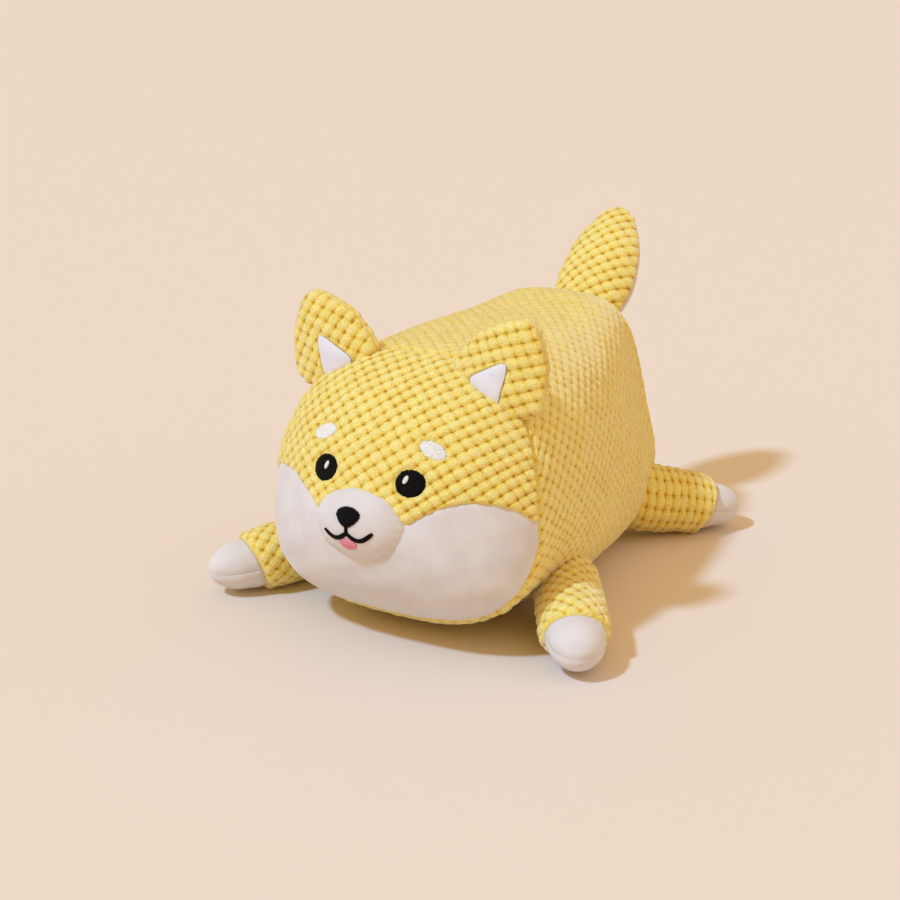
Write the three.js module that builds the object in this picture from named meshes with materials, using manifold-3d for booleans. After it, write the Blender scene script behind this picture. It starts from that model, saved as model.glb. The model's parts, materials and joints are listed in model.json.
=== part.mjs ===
// A squeaky plush dog that lies on its belly: sewn plush panels over stuffing, with a bellows squeaker inside.
// Lengths are millimetres and +Z is up. The dog looks along -Y, so its left side is +X.
// The body's own frame has y = 0 at the seam ring round the face, and the last lines centre the toy.

import * as THREE from "three";
import { mergeVertices } from "three/addons/utils/BufferGeometryUtils.js";
import Module from "manifold-3d";

const wasm = await Module();
wasm.setup();

// Cloth and clearances
const plush = 1.6;
const lining = 0.5;
const gap = 0.3;
const seat = 0.6;
const overrun = 40;
const weld = 0.0001;

// Body: sections from the face ring to the rear ring
const bodyLength = 134;
const bodyWidth = 104;
const bodyHeight = 98;
const bellyCut = 0.5;
const faceLeanDegrees = 17;
const faceBulge = 28;
const rumpBulge = 15;
const faceRoundShare = 0.7;
const rumpRoundShare = 0.6;
const sideSeamDegrees = -38;
const sectionShares = [
  { along: 0, lean: 1, centre: 0.428, width: 0.987, top: 0.98, bottom: 0.116, above: 2.6, below: 3, pinch: 0.05 },
  { along: 0.104, lean: 0.82, centre: 0.418, width: 1, top: 0.99, bottom: 0.045, above: 2.6, below: 2.6, pinch: 0.04 },
  { along: 0.306, lean: 0.53, centre: 0.408, width: 0.985, top: 0.99, bottom: 0, above: 2.7, below: 2.8, pinch: 0.05 },
  { along: 0.567, lean: 0.29, centre: 0.388, width: 0.915, top: 0.995, bottom: 0, above: 2.9, below: 3, pinch: 0.1 },
  { along: 0.828, lean: 0, centre: 0.368, width: 0.825, top: 1, bottom: 0, above: 3.2, below: 3, pinch: 0.18 },
  { along: 1, lean: -0.18, centre: 0.368, width: 0.715, top: 0.945, bottom: 0.066, above: 3.4, below: 2.8, pinch: 0.21 },
];

// Face, in its own plane: x across and q up from the middle of the face ring
const lobeInnerX = 17.5;
const lobeInnerQ = 0.5;
const lobePeakX = 39;
const lobePeakQ = 11;
const lobeOuterDrop = 5;
const muzzleHalfWidth = 17.5;
const muzzleHalfHeight = 12;
const muzzleQ = -1.5;
const muzzleBulge = 6.5;
const muzzleRoundShare = 0.6;
const muzzleRoot = 5;
const thread = 0.8;
const eyeX = 16.5;
const eyeQ = 14.3;
const eyeHalfWidth = 4.8;
const eyeHalfHeight = 4.6;
const leftGlintX = -1.5;
const rightGlintX = 0.6;
const glintQ = 1;
const glintHalfWidth = 0.8;
const glintHalfHeight = 1.5;
const glintTiltDegrees = -18;
const browX = 21;
const browQ = 26;
const browHalfWidth = 4.9;
const browHalfHeight = 2.6;
const browTiltDegrees = -20;
const noseQ = 0.4;
const noseHalfWidth = 4.5;
const noseHeight = 7;
const noseTipShare = 0.5;
const noseTopShare = 0.35;
const noseWidestShare = 0.2;
const mouthWidth = 18.6;
const mouthQ = -5;
const mouthDip = 2.2;
const mouthStroke = 1.1;
const tongueHalfWidth = 3.4;
const tongueTopQ = -7.1;
const tongueLength = 4.2;

// Legs: a root ball, a swelling and a paw ball, a little above the floor.
// Their roots are set in from the body's sides and rear, and their paws reach out from the roots.
const legFloorClearance = 1;
const legRootLift = 1.5;
const pawLongShare = 1.25;
const sleeveShare = 0.9;
const legSwellShare = 0.65;
const frontSwingDegrees = 35;
const hindSwingDegrees = 30;
const frontRootInset = 5;
const frontRootY = 36;
const frontReachX = 21.5;
const frontReachY = 36;
const frontRootRadius = 11;
const frontSwellRadius = 11.1;
const frontPawRadius = 9.3;
const hindRootInset = 16;
const hindRootRear = 7;
const hindReachX = 20.5;
const hindReachY = 20;
const hindRootRadius = 13;
const hindSwellRadius = 11.6;
const hindPawRadius = 9;

// Ears: two plush halves sewn round their outline, hinged at the root
const earInset = 20;
const earY = 12;
const earBelowTop = 7;
const earRollDegrees = 22;
const earLeanDegrees = 3;
const earHalfWidth = 17.5;
const earHeight = 25.5;
const earRoot = 9;
const earHalfThickness = 4.5;
const earTipOut = 1.5;
const earPower = 1.5;
const earForwardDegrees = 35;
const earBackDegrees = 15;
const earPatchTipX = 4.5;
const earPatchTipY = 13;
const earPatchInnerX = 8.5;
const earPatchInnerY = 1;
const earPatchLowX = 4;
const earPatchLowY = 6;
const earPatchBowShare = 1.25;
const earPatchThickness = 0.8;
const leafRoundShare = 0.5;

// Tail: a yellow front and a white back over stuffing, hinged where it leaves the rump
const tailBehind = 7;
const tailBelowTop = 16;
const tailLeanDegrees = 41;
const tailHalfWidth = 15.8;
const tailMiddle = 15;
const tailHeight = 34;
const tailRoot = 24;
const tailHalfThickness = 10;
const tailPower = 1.9;
const tailWagDegrees = 20;

// Squeaker: base cup, pleated bellows, cap, plug and reed, standing in a pocket of the stuffing
const squeakerAheadOfMiddle = 1;
const squeakerBottom = 32;
const squeakerRadius = 22;
const squeakerWall = 1.4;
const cupHeight = 6;
const bellowsHeight = 13;
const bellowsWall = 0.9;
const pleatDepth = 4;
const pleatCount = 3;
const plugRadius = 5;
const plugFlange = 7.5;
const plugFlangeHeight = 1.4;
const plugHeight = 5;
const plugBore = 2.4;
const reedWidth = 3;
const reedLength = 8;
const reedThickness = 0.5;
const pocketClearance = 1;

// Facet counts
const backSegments = 22;
const bellySegments = 8;
const faceSteps = 7;
const bodySteps = 10;
const rumpSteps = 4;
const muzzleSegments = 20;
const muzzleSteps = 4;
const legSegments = 16;
const legFillSegments = 8;
const legSteps = 4;
const ballSteps = 3;
const leafSegments = 20;
const leafSteps = 4;
const outlineSteps = 12;
const lobeSteps = 6;
const curveSteps = 3;
const squeakerSegments = 20;
const tailWagSteps = 2;
const earFoldSteps = 4;
const legSwingSteps = 3;

const UP = new THREE.Vector3(0, 0, 1);
const ACROSS = new THREE.Vector3(1, 0, 0);

// Colours
const yellowPlush = new THREE.MeshStandardMaterial({ color: 0xf6d36b, roughness: 0.95, metalness: 0 });
const whitePlush = new THREE.MeshStandardMaterial({ color: 0xf3ecec, roughness: 0.9, metalness: 0 });
const blackThread = new THREE.MeshStandardMaterial({ color: 0x141214, roughness: 0.6, metalness: 0 });
const whiteThread = new THREE.MeshStandardMaterial({ color: 0xfaf7f2, roughness: 0.6, metalness: 0 });
const pinkThread = new THREE.MeshStandardMaterial({ color: 0xf0a0b0, roughness: 0.6, metalness: 0 });
const fibre = new THREE.MeshStandardMaterial({ color: 0xf7f7f4, roughness: 1, metalness: 0 });
const squeakerPlastic = new THREE.MeshStandardMaterial({ color: 0xe9e7df, roughness: 0.45, metalness: 0 });

// Meshes that close

// Merges shared vertices, drops faces that a pole has pinched to a line, and turns the faces outwards.
function tidy(geometry) {
  const bare = geometry.clone();
  bare.deleteAttribute("normal");
  bare.deleteAttribute("uv");
  const merged = mergeVertices(bare, weld);
  const index = merged.index.array;
  const kept = [];
  for (let i = 0; i < index.length; i += 3) {
    const [a, b, c] = [index[i], index[i + 1], index[i + 2]];
    if (a !== b && b !== c && c !== a) {
      kept.push(a, b, c);
    }
  }
  merged.setIndex(kept);
  if (signedVolume(merged) < 0) {
    merged.setIndex(kept.reverse());
  }
  return merged;
}

function signedVolume(geometry) {
  const at = geometry.attributes.position;
  const index = geometry.index.array;
  const corner = [new THREE.Vector3(), new THREE.Vector3(), new THREE.Vector3()];
  let sum = 0;
  for (let i = 0; i < index.length; i += 3) {
    corner.forEach((point, k) => point.fromBufferAttribute(at, index[i + k]));
    sum += corner[0].dot(corner[1].clone().cross(corner[2]));
  }
  return sum;
}

function solidOf(geometry) {
  const closed = tidy(geometry);
  const vertProperties = new Float32Array(closed.attributes.position.array);
  const triVerts = new Uint32Array(closed.index.array);
  return new wasm.Manifold(new wasm.Mesh({ numProp: 3, vertProperties, triVerts }));
}

function geometryOf(solid) {
  const mesh = solid.getMesh();
  const geometry = new THREE.BufferGeometry();
  geometry.setAttribute("position", new THREE.BufferAttribute(new Float32Array(mesh.vertProperties), 3));
  geometry.setIndex(Array.from(mesh.triVerts));
  return geometry;
}

function fromTriangles(triangles) {
  const geometry = new THREE.BufferGeometry();
  geometry.setFromPoints(triangles.flat());
  return geometry;
}

// The two triangles between neighbouring rows of points, all along the rows.
function bridge(rowA, rowB) {
  const triangles = [];
  for (let j = 0; j + 1 < rowA.length; j += 1) {
    triangles.push([rowA[j], rowA[j + 1], rowB[j + 1]]);
    triangles.push([rowA[j], rowB[j + 1], rowB[j]]);
  }
  return triangles;
}

// A closed form from rings of points, from pole to pole.
function form(rings) {
  const triangles = [];
  for (let i = 0; i + 1 < rings.length; i += 1) {
    triangles.push(...bridge(rings[i], rings[i + 1]));
  }
  return fromTriangles(triangles);
}

// A sheet of cloth between an outer and an inner grid of points, closed round its rims.
function sheet(outer, inner) {
  const last = outer.length - 1;
  const triangles = [];
  for (let i = 0; i < last; i += 1) {
    triangles.push(...bridge(outer[i], outer[i + 1]));
    triangles.push(...bridge(inner[i + 1], inner[i]));
  }
  triangles.push(...bridge(inner[0], outer[0]));
  triangles.push(...bridge(outer[last], inner[last]));
  const sides = [
    [inner.map((row) => row[0]), outer.map((row) => row[0])],
    [outer.map((row) => row.at(-1)), inner.map((row) => row.at(-1))],
  ];
  const goesRound = outer[last][0].distanceTo(outer[last].at(-1)) < gap;
  if (!goesRound) {
    sides.forEach(([from, to]) => triangles.push(...bridge(to, from)));
  }
  return fromTriangles(triangles);
}

function steps(from, to, count) {
  return Array.from({ length: count + 1 }, (_, i) => from + ((to - from) * i) / count);
}

// Body form

// A smooth curve through the section table, at a place from 0 (face ring) to 1 (rear ring).
function sectionAt(place) {
  const last = sectionShares.length - 1;
  const span = Math.min(Math.max(place, 0), 1) * last;
  const i = Math.min(Math.floor(span), last - 1);
  const f = span - i;
  const value = (key) => {
    const p1 = sectionShares[i][key];
    const p2 = sectionShares[i + 1][key];
    const p0 = i > 0 ? sectionShares[i - 1][key] : 2 * p1 - p2;
    const p3 = i + 2 <= last ? sectionShares[i + 2][key] : 2 * p2 - p1;
    const bend = 2 * p0 - 5 * p1 + 4 * p2 - p3;
    const twist = 3 * p1 - p0 - 3 * p2 + p3;
    return (2 * p1 + (p2 - p0) * f + bend * f * f + twist * f * f * f) / 2;
  };
  const lean = THREE.MathUtils.degToRad(value("lean") * faceLeanDegrees);
  const centre = value("centre") * bodyHeight;
  return {
    centre: new THREE.Vector3(0, value("along") * bodyLength, centre),
    rise: new THREE.Vector3(0, Math.sin(lean), Math.cos(lean)),
    forward: new THREE.Vector3(0, -Math.cos(lean), Math.sin(lean)),
    halfWidth: (value("width") * bodyWidth) / 2,
    up: (value("top") * bodyHeight - centre) / Math.cos(lean),
    down: (centre - value("bottom") * bodyHeight + bellyCut) / Math.cos(lean),
    above: value("above"),
    below: value("below"),
    pinch: value("pinch"),
  };
}

// A point of one section, drawn in by inset, shrunk towards its centre and pushed along its normal.
function sectionPoint(section, angle, inset, shrink, push) {
  const cos = Math.cos(angle);
  const sin = Math.sin(angle);
  const height = (sin >= 0 ? section.up : section.down) - inset;
  const power = sin >= 0 ? section.above : section.below;
  const sum = Math.abs(cos / (section.halfWidth - inset)) ** power + Math.abs(sin / height) ** power;
  const radius = sum ** (-1 / power);
  const rise = radius * sin;
  const narrow = 1 - section.pinch * Math.max(rise / height, 0);
  const point = section.centre.clone();
  point.addScaledVector(ACROSS, radius * cos * narrow * shrink);
  point.addScaledVector(section.rise, rise * shrink);
  point.addScaledVector(section.forward, push);
  return point;
}

function bulge(share, depth, round) {
  return depth * Math.max(1 - share * share, 0) ** round;
}

function facePoint(angle, share, inset, lift = 0) {
  const push = bulge(share, faceBulge - inset, faceRoundShare) + lift;
  return sectionPoint(sectionAt(0), angle, inset, share, push);
}

function rumpPoint(angle, share, inset, lift = 0) {
  const push = bulge(share, rumpBulge - inset, rumpRoundShare) + lift;
  return sectionPoint(sectionAt(1), angle, inset, share, -push);
}

function sidePoint(angle, place, inset) {
  return sectionPoint(sectionAt(place), angle, inset, 1, 0);
}

// The belly lies on the floor and is flat there; inner layers are flat the same distance above it.
function laid(point, inset) {
  point.z = Math.max(point.z, inset);
  return point;
}

function turn(segments, from = 0, to = 2 * Math.PI) {
  return steps(from, to, segments);
}

// Shares of the radius from a dome's pole to its rim, closer together near the rim.
function domeShares(count) {
  return steps(0, 1, count).map((share) => Math.sin((share * Math.PI) / 2));
}

// The angles round the body, with a corner on each side seam.
const seamLow = THREE.MathUtils.degToRad(sideSeamDegrees);
const seamHigh = Math.PI - seamLow;
const backAngles = turn(backSegments, seamLow, seamHigh);
const bellyAngles = turn(bellySegments, seamHigh, seamLow + 2 * Math.PI);
const bodyAngles = [...backAngles, ...bellyAngles.slice(1)];
const fillAngles = bodyAngles.filter((_, i) => i % 2 === 0);

function bodyForm(inset, angles = bodyAngles) {
  const ring = (place) => angles.map((angle) => laid(place(angle), inset));
  const rings = [
    ...domeShares(faceSteps).map((share) => ring((angle) => facePoint(angle, share, inset))),
    ...steps(0, 1, bodySteps).map((place) => ring((angle) => sidePoint(angle, place, inset))),
    ...domeShares(rumpSteps)
      .reverse()
      .map((share) => ring((angle) => rumpPoint(angle, share, inset))),
  ];
  return form(rings);
}

function sidePanel(angles) {
  const grid = (inset) =>
    steps(0, 1, bodySteps).map((place) => angles.map((angle) => laid(sidePoint(angle, place, inset), inset)));
  return sheet(grid(0), grid(plush));
}

function dome(point, count) {
  const grid = (inset) =>
    domeShares(count).map((share) => bodyAngles.map((angle) => laid(point(angle, share, inset), inset)));
  return sheet(grid(0), grid(plush));
}

// Face

const faceSection = sectionAt(0);
const facePlane = new THREE.Matrix4()
  .makeBasis(ACROSS, faceSection.rise, faceSection.forward)
  .setPosition(faceSection.centre);

// A prism along the face's normal, from behind the face plane to in front of the muzzle.
function facePrism(shape) {
  const options = { depth: faceBulge + muzzleBulge + overrun, bevelEnabled: false, curveSegments: outlineSteps };
  const geometry = new THREE.ExtrudeGeometry(shape, options);
  geometry.applyMatrix4(facePlane);
  return solidOf(geometry);
}

// The height of the bare face above its ring's plane.
function faceHeight(x, q, inset) {
  const height = (q >= 0 ? faceSection.up : faceSection.down) - inset;
  const power = q >= 0 ? faceSection.above : faceSection.below;
  const halfWidth = (faceSection.halfWidth - inset) * (1 - faceSection.pinch * Math.max(q / height, 0));
  const sum = Math.abs(x / halfWidth) ** power + Math.abs(q / height) ** power;
  return bulge(Math.min(sum ** (1 / power), 1), faceBulge - inset, faceRoundShare);
}

function muzzleForm(inset) {
  const angles = turn(muzzleSegments);
  const ring = (share, lift) =>
    angles.map((angle) => {
      const x = (muzzleHalfWidth - inset) * share * Math.cos(angle);
      const q = (muzzleHalfHeight - inset) * share * Math.sin(angle) + muzzleQ;
      return new THREE.Vector3(x, q, faceHeight(x, q, 0) + lift).applyMatrix4(facePlane);
    });
  const bump = (share) => bulge(share, muzzleBulge - inset, muzzleRoundShare);
  const shares = domeShares(muzzleSteps);
  const back = shares.map((share) => ring(share, -muzzleRoot));
  const front = shares.map((share) => ring(share, bump(share)));
  return form([...back, ...front.reverse()]);
}

// The upper edge of the white cheeks, from the muzzle out to the face ring.
function lobeQ(x) {
  if (x < lobePeakX) {
    const share = (x - lobeInnerX) / (lobePeakX - lobeInnerX);
    return lobeInnerQ + (lobePeakQ - lobeInnerQ) * Math.sin((share * Math.PI) / 2);
  }
  const share = (x - lobePeakX) / (faceSection.halfWidth - lobePeakX);
  return lobePeakQ - lobeOuterDrop * share * share;
}

function cheekShape(margin) {
  const rim = faceSection.halfWidth;
  const lobe = steps(lobeInnerX, rim, lobeSteps).map((x) => new THREE.Vector2(x, lobeQ(x) + margin));
  const left = lobe.map((point) => new THREE.Vector2(-point.x, point.y)).reverse();
  const low = -faceSection.down - overrun;
  const edge = lobe.at(-1).y;
  const wide = rim + overrun;
  const corners = [
    new THREE.Vector2(wide, edge),
    new THREE.Vector2(wide, low),
    new THREE.Vector2(-wide, low),
    new THREE.Vector2(-wide, edge),
  ];
  return new THREE.Shape([...left, ...lobe, ...corners]);
}

function ellipse(x, q, halfWidth, halfHeight, tiltDegrees = 0) {
  const shape = new THREE.Shape();
  const tilt = THREE.MathUtils.degToRad(tiltDegrees);
  shape.absellipse(x, q, halfWidth, halfHeight, 0, 2 * Math.PI, false, tilt);
  return new THREE.Shape(shape.getPoints(outlineSteps));
}

// A wide rounded triangle with its point down.
function noseShape() {
  const shape = new THREE.Shape();
  const top = noseQ + noseHeight / 2;
  const low = noseQ - noseHeight / 2;
  const widest = noseQ + noseHeight * noseWidestShare;
  const tipX = noseHalfWidth * noseTipShare;
  const topX = noseHalfWidth * noseTopShare;
  shape.moveTo(0, low);
  shape.bezierCurveTo(-tipX, low, -noseHalfWidth, noseQ, -noseHalfWidth, widest);
  shape.bezierCurveTo(-noseHalfWidth, top, -topX, top, 0, top);
  shape.bezierCurveTo(topX, top, noseHalfWidth, top, noseHalfWidth, widest);
  shape.bezierCurveTo(noseHalfWidth, noseQ, tipX, low, 0, low);
  return new THREE.Shape(shape.getPoints(curveSteps));
}

// A smiling line of two dips, with a short line up to the nose, widened by a margin.
function mouthShape(margin) {
  const half = mouthWidth / 2;
  const stroke = mouthStroke / 2 + margin;
  const line = (x) => mouthQ - mouthDip * Math.abs(Math.sin((Math.PI * x) / half));
  const xs = steps(-half, half, outlineSteps);
  const below = xs.map((x) => new THREE.Vector2(x, line(x) - stroke));
  const rightTop = xs.filter((x) => x > mouthStroke).map((x) => new THREE.Vector2(x, line(x) + stroke));
  const leftTop = rightTop.map((point) => new THREE.Vector2(-point.x, point.y)).reverse();
  const noseLow = noseQ - noseHeight / 2 - gap;
  const stem = [new THREE.Vector2(stroke, noseLow), new THREE.Vector2(-stroke, noseLow)];
  return new THREE.Shape([...below, ...rightTop.reverse(), ...stem, ...leftTop.reverse()]);
}

function tongueShape() {
  const shape = new THREE.Shape();
  const low = tongueTopQ - tongueLength;
  shape.moveTo(-tongueHalfWidth, tongueTopQ);
  shape.bezierCurveTo(-tongueHalfWidth, low, tongueHalfWidth, low, tongueHalfWidth, tongueTopQ);
  return new THREE.Shape(shape.getPoints(outlineSteps));
}

// The face with its muzzle, grown outwards by a distance.
function faceGrown(distance) {
  return solidOf(bodyForm(-distance)).add(solidOf(muzzleForm(-distance)));
}

const stitchLow = faceGrown(seat);
const stitchHigh = faceGrown(seat + thread);
const glintLow = faceGrown(seat + thread + gap);
const glintHigh = faceGrown(seat + thread + gap + thread);

function stitched(shape, clear = []) {
  const thick = facePrism(shape).intersect(stitchHigh).subtract(stitchLow);
  return geometryOf(clear.reduce((left, other) => left.subtract(facePrism(other)), thick));
}

function glint(shape) {
  return geometryOf(facePrism(shape).intersect(glintHigh).subtract(glintLow));
}

// Limbs: each is cut where it meets the body, at rest and all through its swing

// The body as a limb sees it from its own frame, when the limb has swung by an angle about its hinge.
function bodySeen(limb, swing) {
  const { x, y, z } = limb.position;
  const back = new THREE.Matrix4()
    .makeTranslation(x, y, z)
    .multiply(new THREE.Matrix4().makeRotationAxis(limb.hinge, -swing))
    .multiply(new THREE.Matrix4().makeTranslation(-x, -y, -z));
  const placed = new THREE.Matrix4().compose(limb.position, limb.quaternion, new THREE.Vector3(1, 1, 1));
  const geometry = bodyForm(-seat);
  geometry.applyMatrix4(placed.invert().multiply(back));
  return solidOf(geometry);
}

// The places that the body takes up as the limb swings over its range.
function clearOfBody(limb) {
  const swings = steps(limb.from, limb.to, limb.swings).map(THREE.MathUtils.degToRad);
  return swings.map((swing) => bodySeen(limb, swing)).reduce((all, next) => all.add(next));
}

function frameOf(x, y, z) {
  return new THREE.Quaternion().setFromRotationMatrix(new THREE.Matrix4().makeBasis(x, y, z));
}

function lathe(points, segments) {
  const profile = points.map(([radius, height]) => new THREE.Vector2(Math.max(radius, 0), height));
  return new THREE.LatheGeometry(profile, segments);
}

// Legs

// A leg's outline from the back of its root ball to the tip of its paw, drawn in by inset.
function legProfile(leg, inset) {
  const quarter = steps(-90, 0, ballSteps).map(THREE.MathUtils.degToRad);
  const root = quarter.map((angle) => [Math.cos(angle), Math.sin(angle)]);
  const rootBall = root.map(([c, s]) => [(leg.rootRadius - inset) * c, (leg.rootRadius - inset) * s]);
  const long = (leg.pawRadius - inset) * pawLongShare;
  const pawBall = [...root].reverse().map(([c, s]) => [(leg.pawRadius - inset) * c, leg.length - long * s]);
  const swell = [];
  steps(0, 1, legSteps)
    .slice(1, -1)
    .forEach((share) => {
      const early = share < legSwellShare;
      const from = early ? leg.rootRadius : leg.swellRadius;
      const to = early ? leg.swellRadius : leg.pawRadius;
      const late = (share - legSwellShare) / (1 - legSwellShare);
      const part = early ? share / legSwellShare : late * late;
      swell.push([from + (to - from) * part - inset, leg.length * share]);
    });
  return [...rootBall, ...swell, ...pawBall];
}

function legSolid(leg, inset, segments = legSegments) {
  return solidOf(lathe(legProfile(leg, inset), segments));
}

// A block of space on one side of a plane across an axis of the limb.
function halfSpace(axis, from, direction) {
  const size = bodyLength;
  const block = new THREE.BoxGeometry(size, size, size);
  const centre = new THREE.Vector3(0, 0, 0);
  centre[axis] = from + (direction * size) / 2;
  block.translate(centre.x, centre.y, centre.z);
  return solidOf(block);
}

function legPieces(name, leg) {
  const clear = clearOfBody(leg);
  const skin = legSolid(leg, 0).subtract(legSolid(leg, plush)).subtract(clear);
  const stuffing = legSolid(leg, plush + gap, legFillSegments).subtract(clear);
  const seam = leg.length * sleeveShare;
  const paw = skin.intersect(halfSpace("y", seam + gap, 1));
  const pieces = [
    [`${name}_sleeve`, skin.intersect(halfSpace("y", seam, -1)), yellowPlush],
    [`${name}_paw_top`, paw.intersect(halfSpace("z", gap / 2, 1)), whitePlush],
    [`${name}_paw_sole`, paw.intersect(halfSpace("z", -gap / 2, -1)), whitePlush],
    [`${name}_stuffing`, stuffing, fibre],
  ];
  return limbGroup(leg, pieces);
}

function limbGroup(limb, pieces) {
  const group = new THREE.Group();
  group.position.copy(limb.position);
  group.quaternion.copy(limb.quaternion);
  pieces.forEach(([name, solid, material]) => group.add(named(name, geometryOf(solid), material)));
  return group;
}

// A leg lies along the floor and swings outwards over it, about an upright line through its root.
function legAt(side, outwards, swing, inset, rootY, reachX, reachY, rootRadius, swellRadius, pawRadius) {
  const rootX = bodyWidth / 2 - inset;
  const root = new THREE.Vector3(side * rootX, rootY, rootRadius + legFloorClearance + legRootLift);
  const paw = new THREE.Vector3(side * (rootX + reachX), rootY + reachY, pawRadius + legFloorClearance);
  const along = paw.clone().sub(root).normalize();
  const across = along.clone().cross(UP).normalize();
  return {
    position: root,
    quaternion: frameOf(across, along, across.clone().cross(along)),
    hinge: UP.clone().multiplyScalar(outwards),
    length: paw.distanceTo(root),
    rootRadius,
    swellRadius,
    pawRadius,
    from: 0,
    to: swing,
    swings: legSwingSteps,
  };
}

// Ears and tail: leaf forms, with one half on each side of the seam round their outline

// One half of a leaf, centred on its widest line: z is its thickness, y its height.
function leafHalf(leaf, inset, side, fromZ) {
  const angles = turn(leafSegments);
  const ring = (share, z) =>
    angles.map((angle) => {
      const cos = Math.cos(angle);
      const sin = Math.sin(angle);
      const height = (sin >= 0 ? leaf.height : leaf.root) - inset;
      const sum = Math.abs(cos / (leaf.halfWidth - inset)) ** leaf.power + Math.abs(sin / height) ** leaf.power;
      const radius = sum ** (-1 / leaf.power) * share;
      const tip = leaf.tipX * Math.max((radius * sin) / height, 0) ** 2;
      return new THREE.Vector3(radius * cos + tip, radius * sin + leaf.middle, side * z);
    });
  const crown = (share) => fromZ + bulge(share, leaf.halfThickness - inset - fromZ, leafRoundShare);
  const crowned = domeShares(leafSteps)
    .reverse()
    .map((share) => ring(share, crown(share)));
  return solidOf(form([ring(0, fromZ), ...crowned]));
}

// A soft triangle: its tip leans outwards, and its edges are bowed. The last corner is the first again.
function earPatchShape(side) {
  const corners = [
    new THREE.Vector2(side * earPatchTipX, earPatchTipY),
    new THREE.Vector2(-side * earPatchInnerX, earPatchInnerY),
    new THREE.Vector2(side * earPatchLowX, -earPatchLowY),
  ];
  const centre = corners[0].clone().add(corners[1]).add(corners[2]).divideScalar(corners.length);
  const shape = new THREE.Shape();
  shape.moveTo(corners[0].x, corners[0].y);
  corners.forEach((corner, i) => {
    const next = corners[(i + 1) % corners.length];
    const bow = corner.clone().lerp(next, 0.5).sub(centre).multiplyScalar(earPatchBowShare).add(centre);
    shape.quadraticCurveTo(bow.x, bow.y, next.x, next.y);
  });
  return new THREE.Shape(shape.getPoints(curveSteps));
}

function earPieces(name, side) {
  const roll = THREE.MathUtils.degToRad(earRollDegrees) * side;
  const lean = THREE.MathUtils.degToRad(earLeanDegrees);
  const across = new THREE.Vector3(Math.cos(roll), 0, -Math.sin(roll));
  const rise = new THREE.Vector3(Math.sin(roll), 0, Math.cos(roll)).applyAxisAngle(across, -lean);
  const ear = {
    position: new THREE.Vector3(side * (bodyWidth / 2 - earInset), earY, bodyHeight - earBelowTop),
    quaternion: frameOf(across, rise, across.clone().cross(rise)),
    hinge: across,
    from: -earBackDegrees,
    to: earForwardDegrees,
    swings: earFoldSteps,
    halfWidth: earHalfWidth,
    height: earHeight,
    root: earRoot,
    tipX: side * earTipOut,
    middle: 0,
    halfThickness: earHalfThickness,
    power: earPower,
  };
  const clear = clearOfBody(ear);
  const outline = earPatchShape(side);
  const column = new THREE.ExtrudeGeometry(outline, { depth: overrun, bevelEnabled: false });
  const outside = leafHalf(ear, -gap - earPatchThickness, 1, gap / 2);
  const inside = leafHalf(ear, -gap, 1, -gap);
  const inner = solidOf(column).intersect(outside).subtract(inside).subtract(clear);
  const pieces = [
    [`${name}_front`, leafHalf(ear, 0, 1, gap / 2).subtract(clear), yellowPlush],
    [`${name}_back`, leafHalf(ear, 0, -1, gap / 2).subtract(clear), yellowPlush],
    [`${name}_inner`, inner, whitePlush],
  ];
  return limbGroup(ear, pieces);
}

function tailPieces() {
  const lean = THREE.MathUtils.degToRad(tailLeanDegrees);
  const rise = new THREE.Vector3(0, Math.sin(lean), Math.cos(lean));
  const front = ACROSS.clone().cross(rise);
  const tail = {
    position: new THREE.Vector3(0, bodyLength + tailBehind, bodyHeight - tailBelowTop),
    quaternion: frameOf(ACROSS, rise, front),
    hinge: front,
    from: -tailWagDegrees,
    to: tailWagDegrees,
    swings: tailWagSteps,
    halfWidth: tailHalfWidth,
    height: tailHeight,
    root: tailRoot,
    tipX: 0,
    middle: tailMiddle,
    halfThickness: tailHalfThickness,
    power: tailPower,
  };
  const clear = clearOfBody(tail);
  const core = leafHalf(tail, plush, 1, 0).add(leafHalf(tail, plush, -1, 0));
  const pad = leafHalf(tail, plush + gap, 1, 0).add(leafHalf(tail, plush + gap, -1, 0));
  const pieces = [
    ["tail_front", leafHalf(tail, 0, 1, gap / 2).subtract(core).subtract(clear), yellowPlush],
    ["tail_back", leafHalf(tail, 0, -1, gap / 2).subtract(core).subtract(clear), whitePlush],
    ["tail_stuffing", pad.subtract(clear), fibre],
  ];
  return limbGroup(tail, pieces);
}

// Squeaker

function cupProfile(hole) {
  const inner = squeakerRadius - squeakerWall;
  return [
    [hole, 0],
    [squeakerRadius, 0],
    [squeakerRadius, cupHeight],
    [inner, cupHeight],
    [inner, squeakerWall],
    [hole, squeakerWall],
    [hole, 0],
  ];
}

function bellowsProfile() {
  const outer = [];
  const folds = 2 * pleatCount;
  steps(0, folds, folds).forEach((fold) => {
    const radius = squeakerRadius - (fold % 2 === 1 ? pleatDepth : 0);
    outer.push([radius, (bellowsHeight * fold) / folds]);
  });
  const inner = outer.map(([radius, height]) => [radius - bellowsWall, height]).reverse();
  return [...outer, ...inner, outer[0]];
}

const squeakerY = bodyLength / 2 - squeakerAheadOfMiddle;

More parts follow.
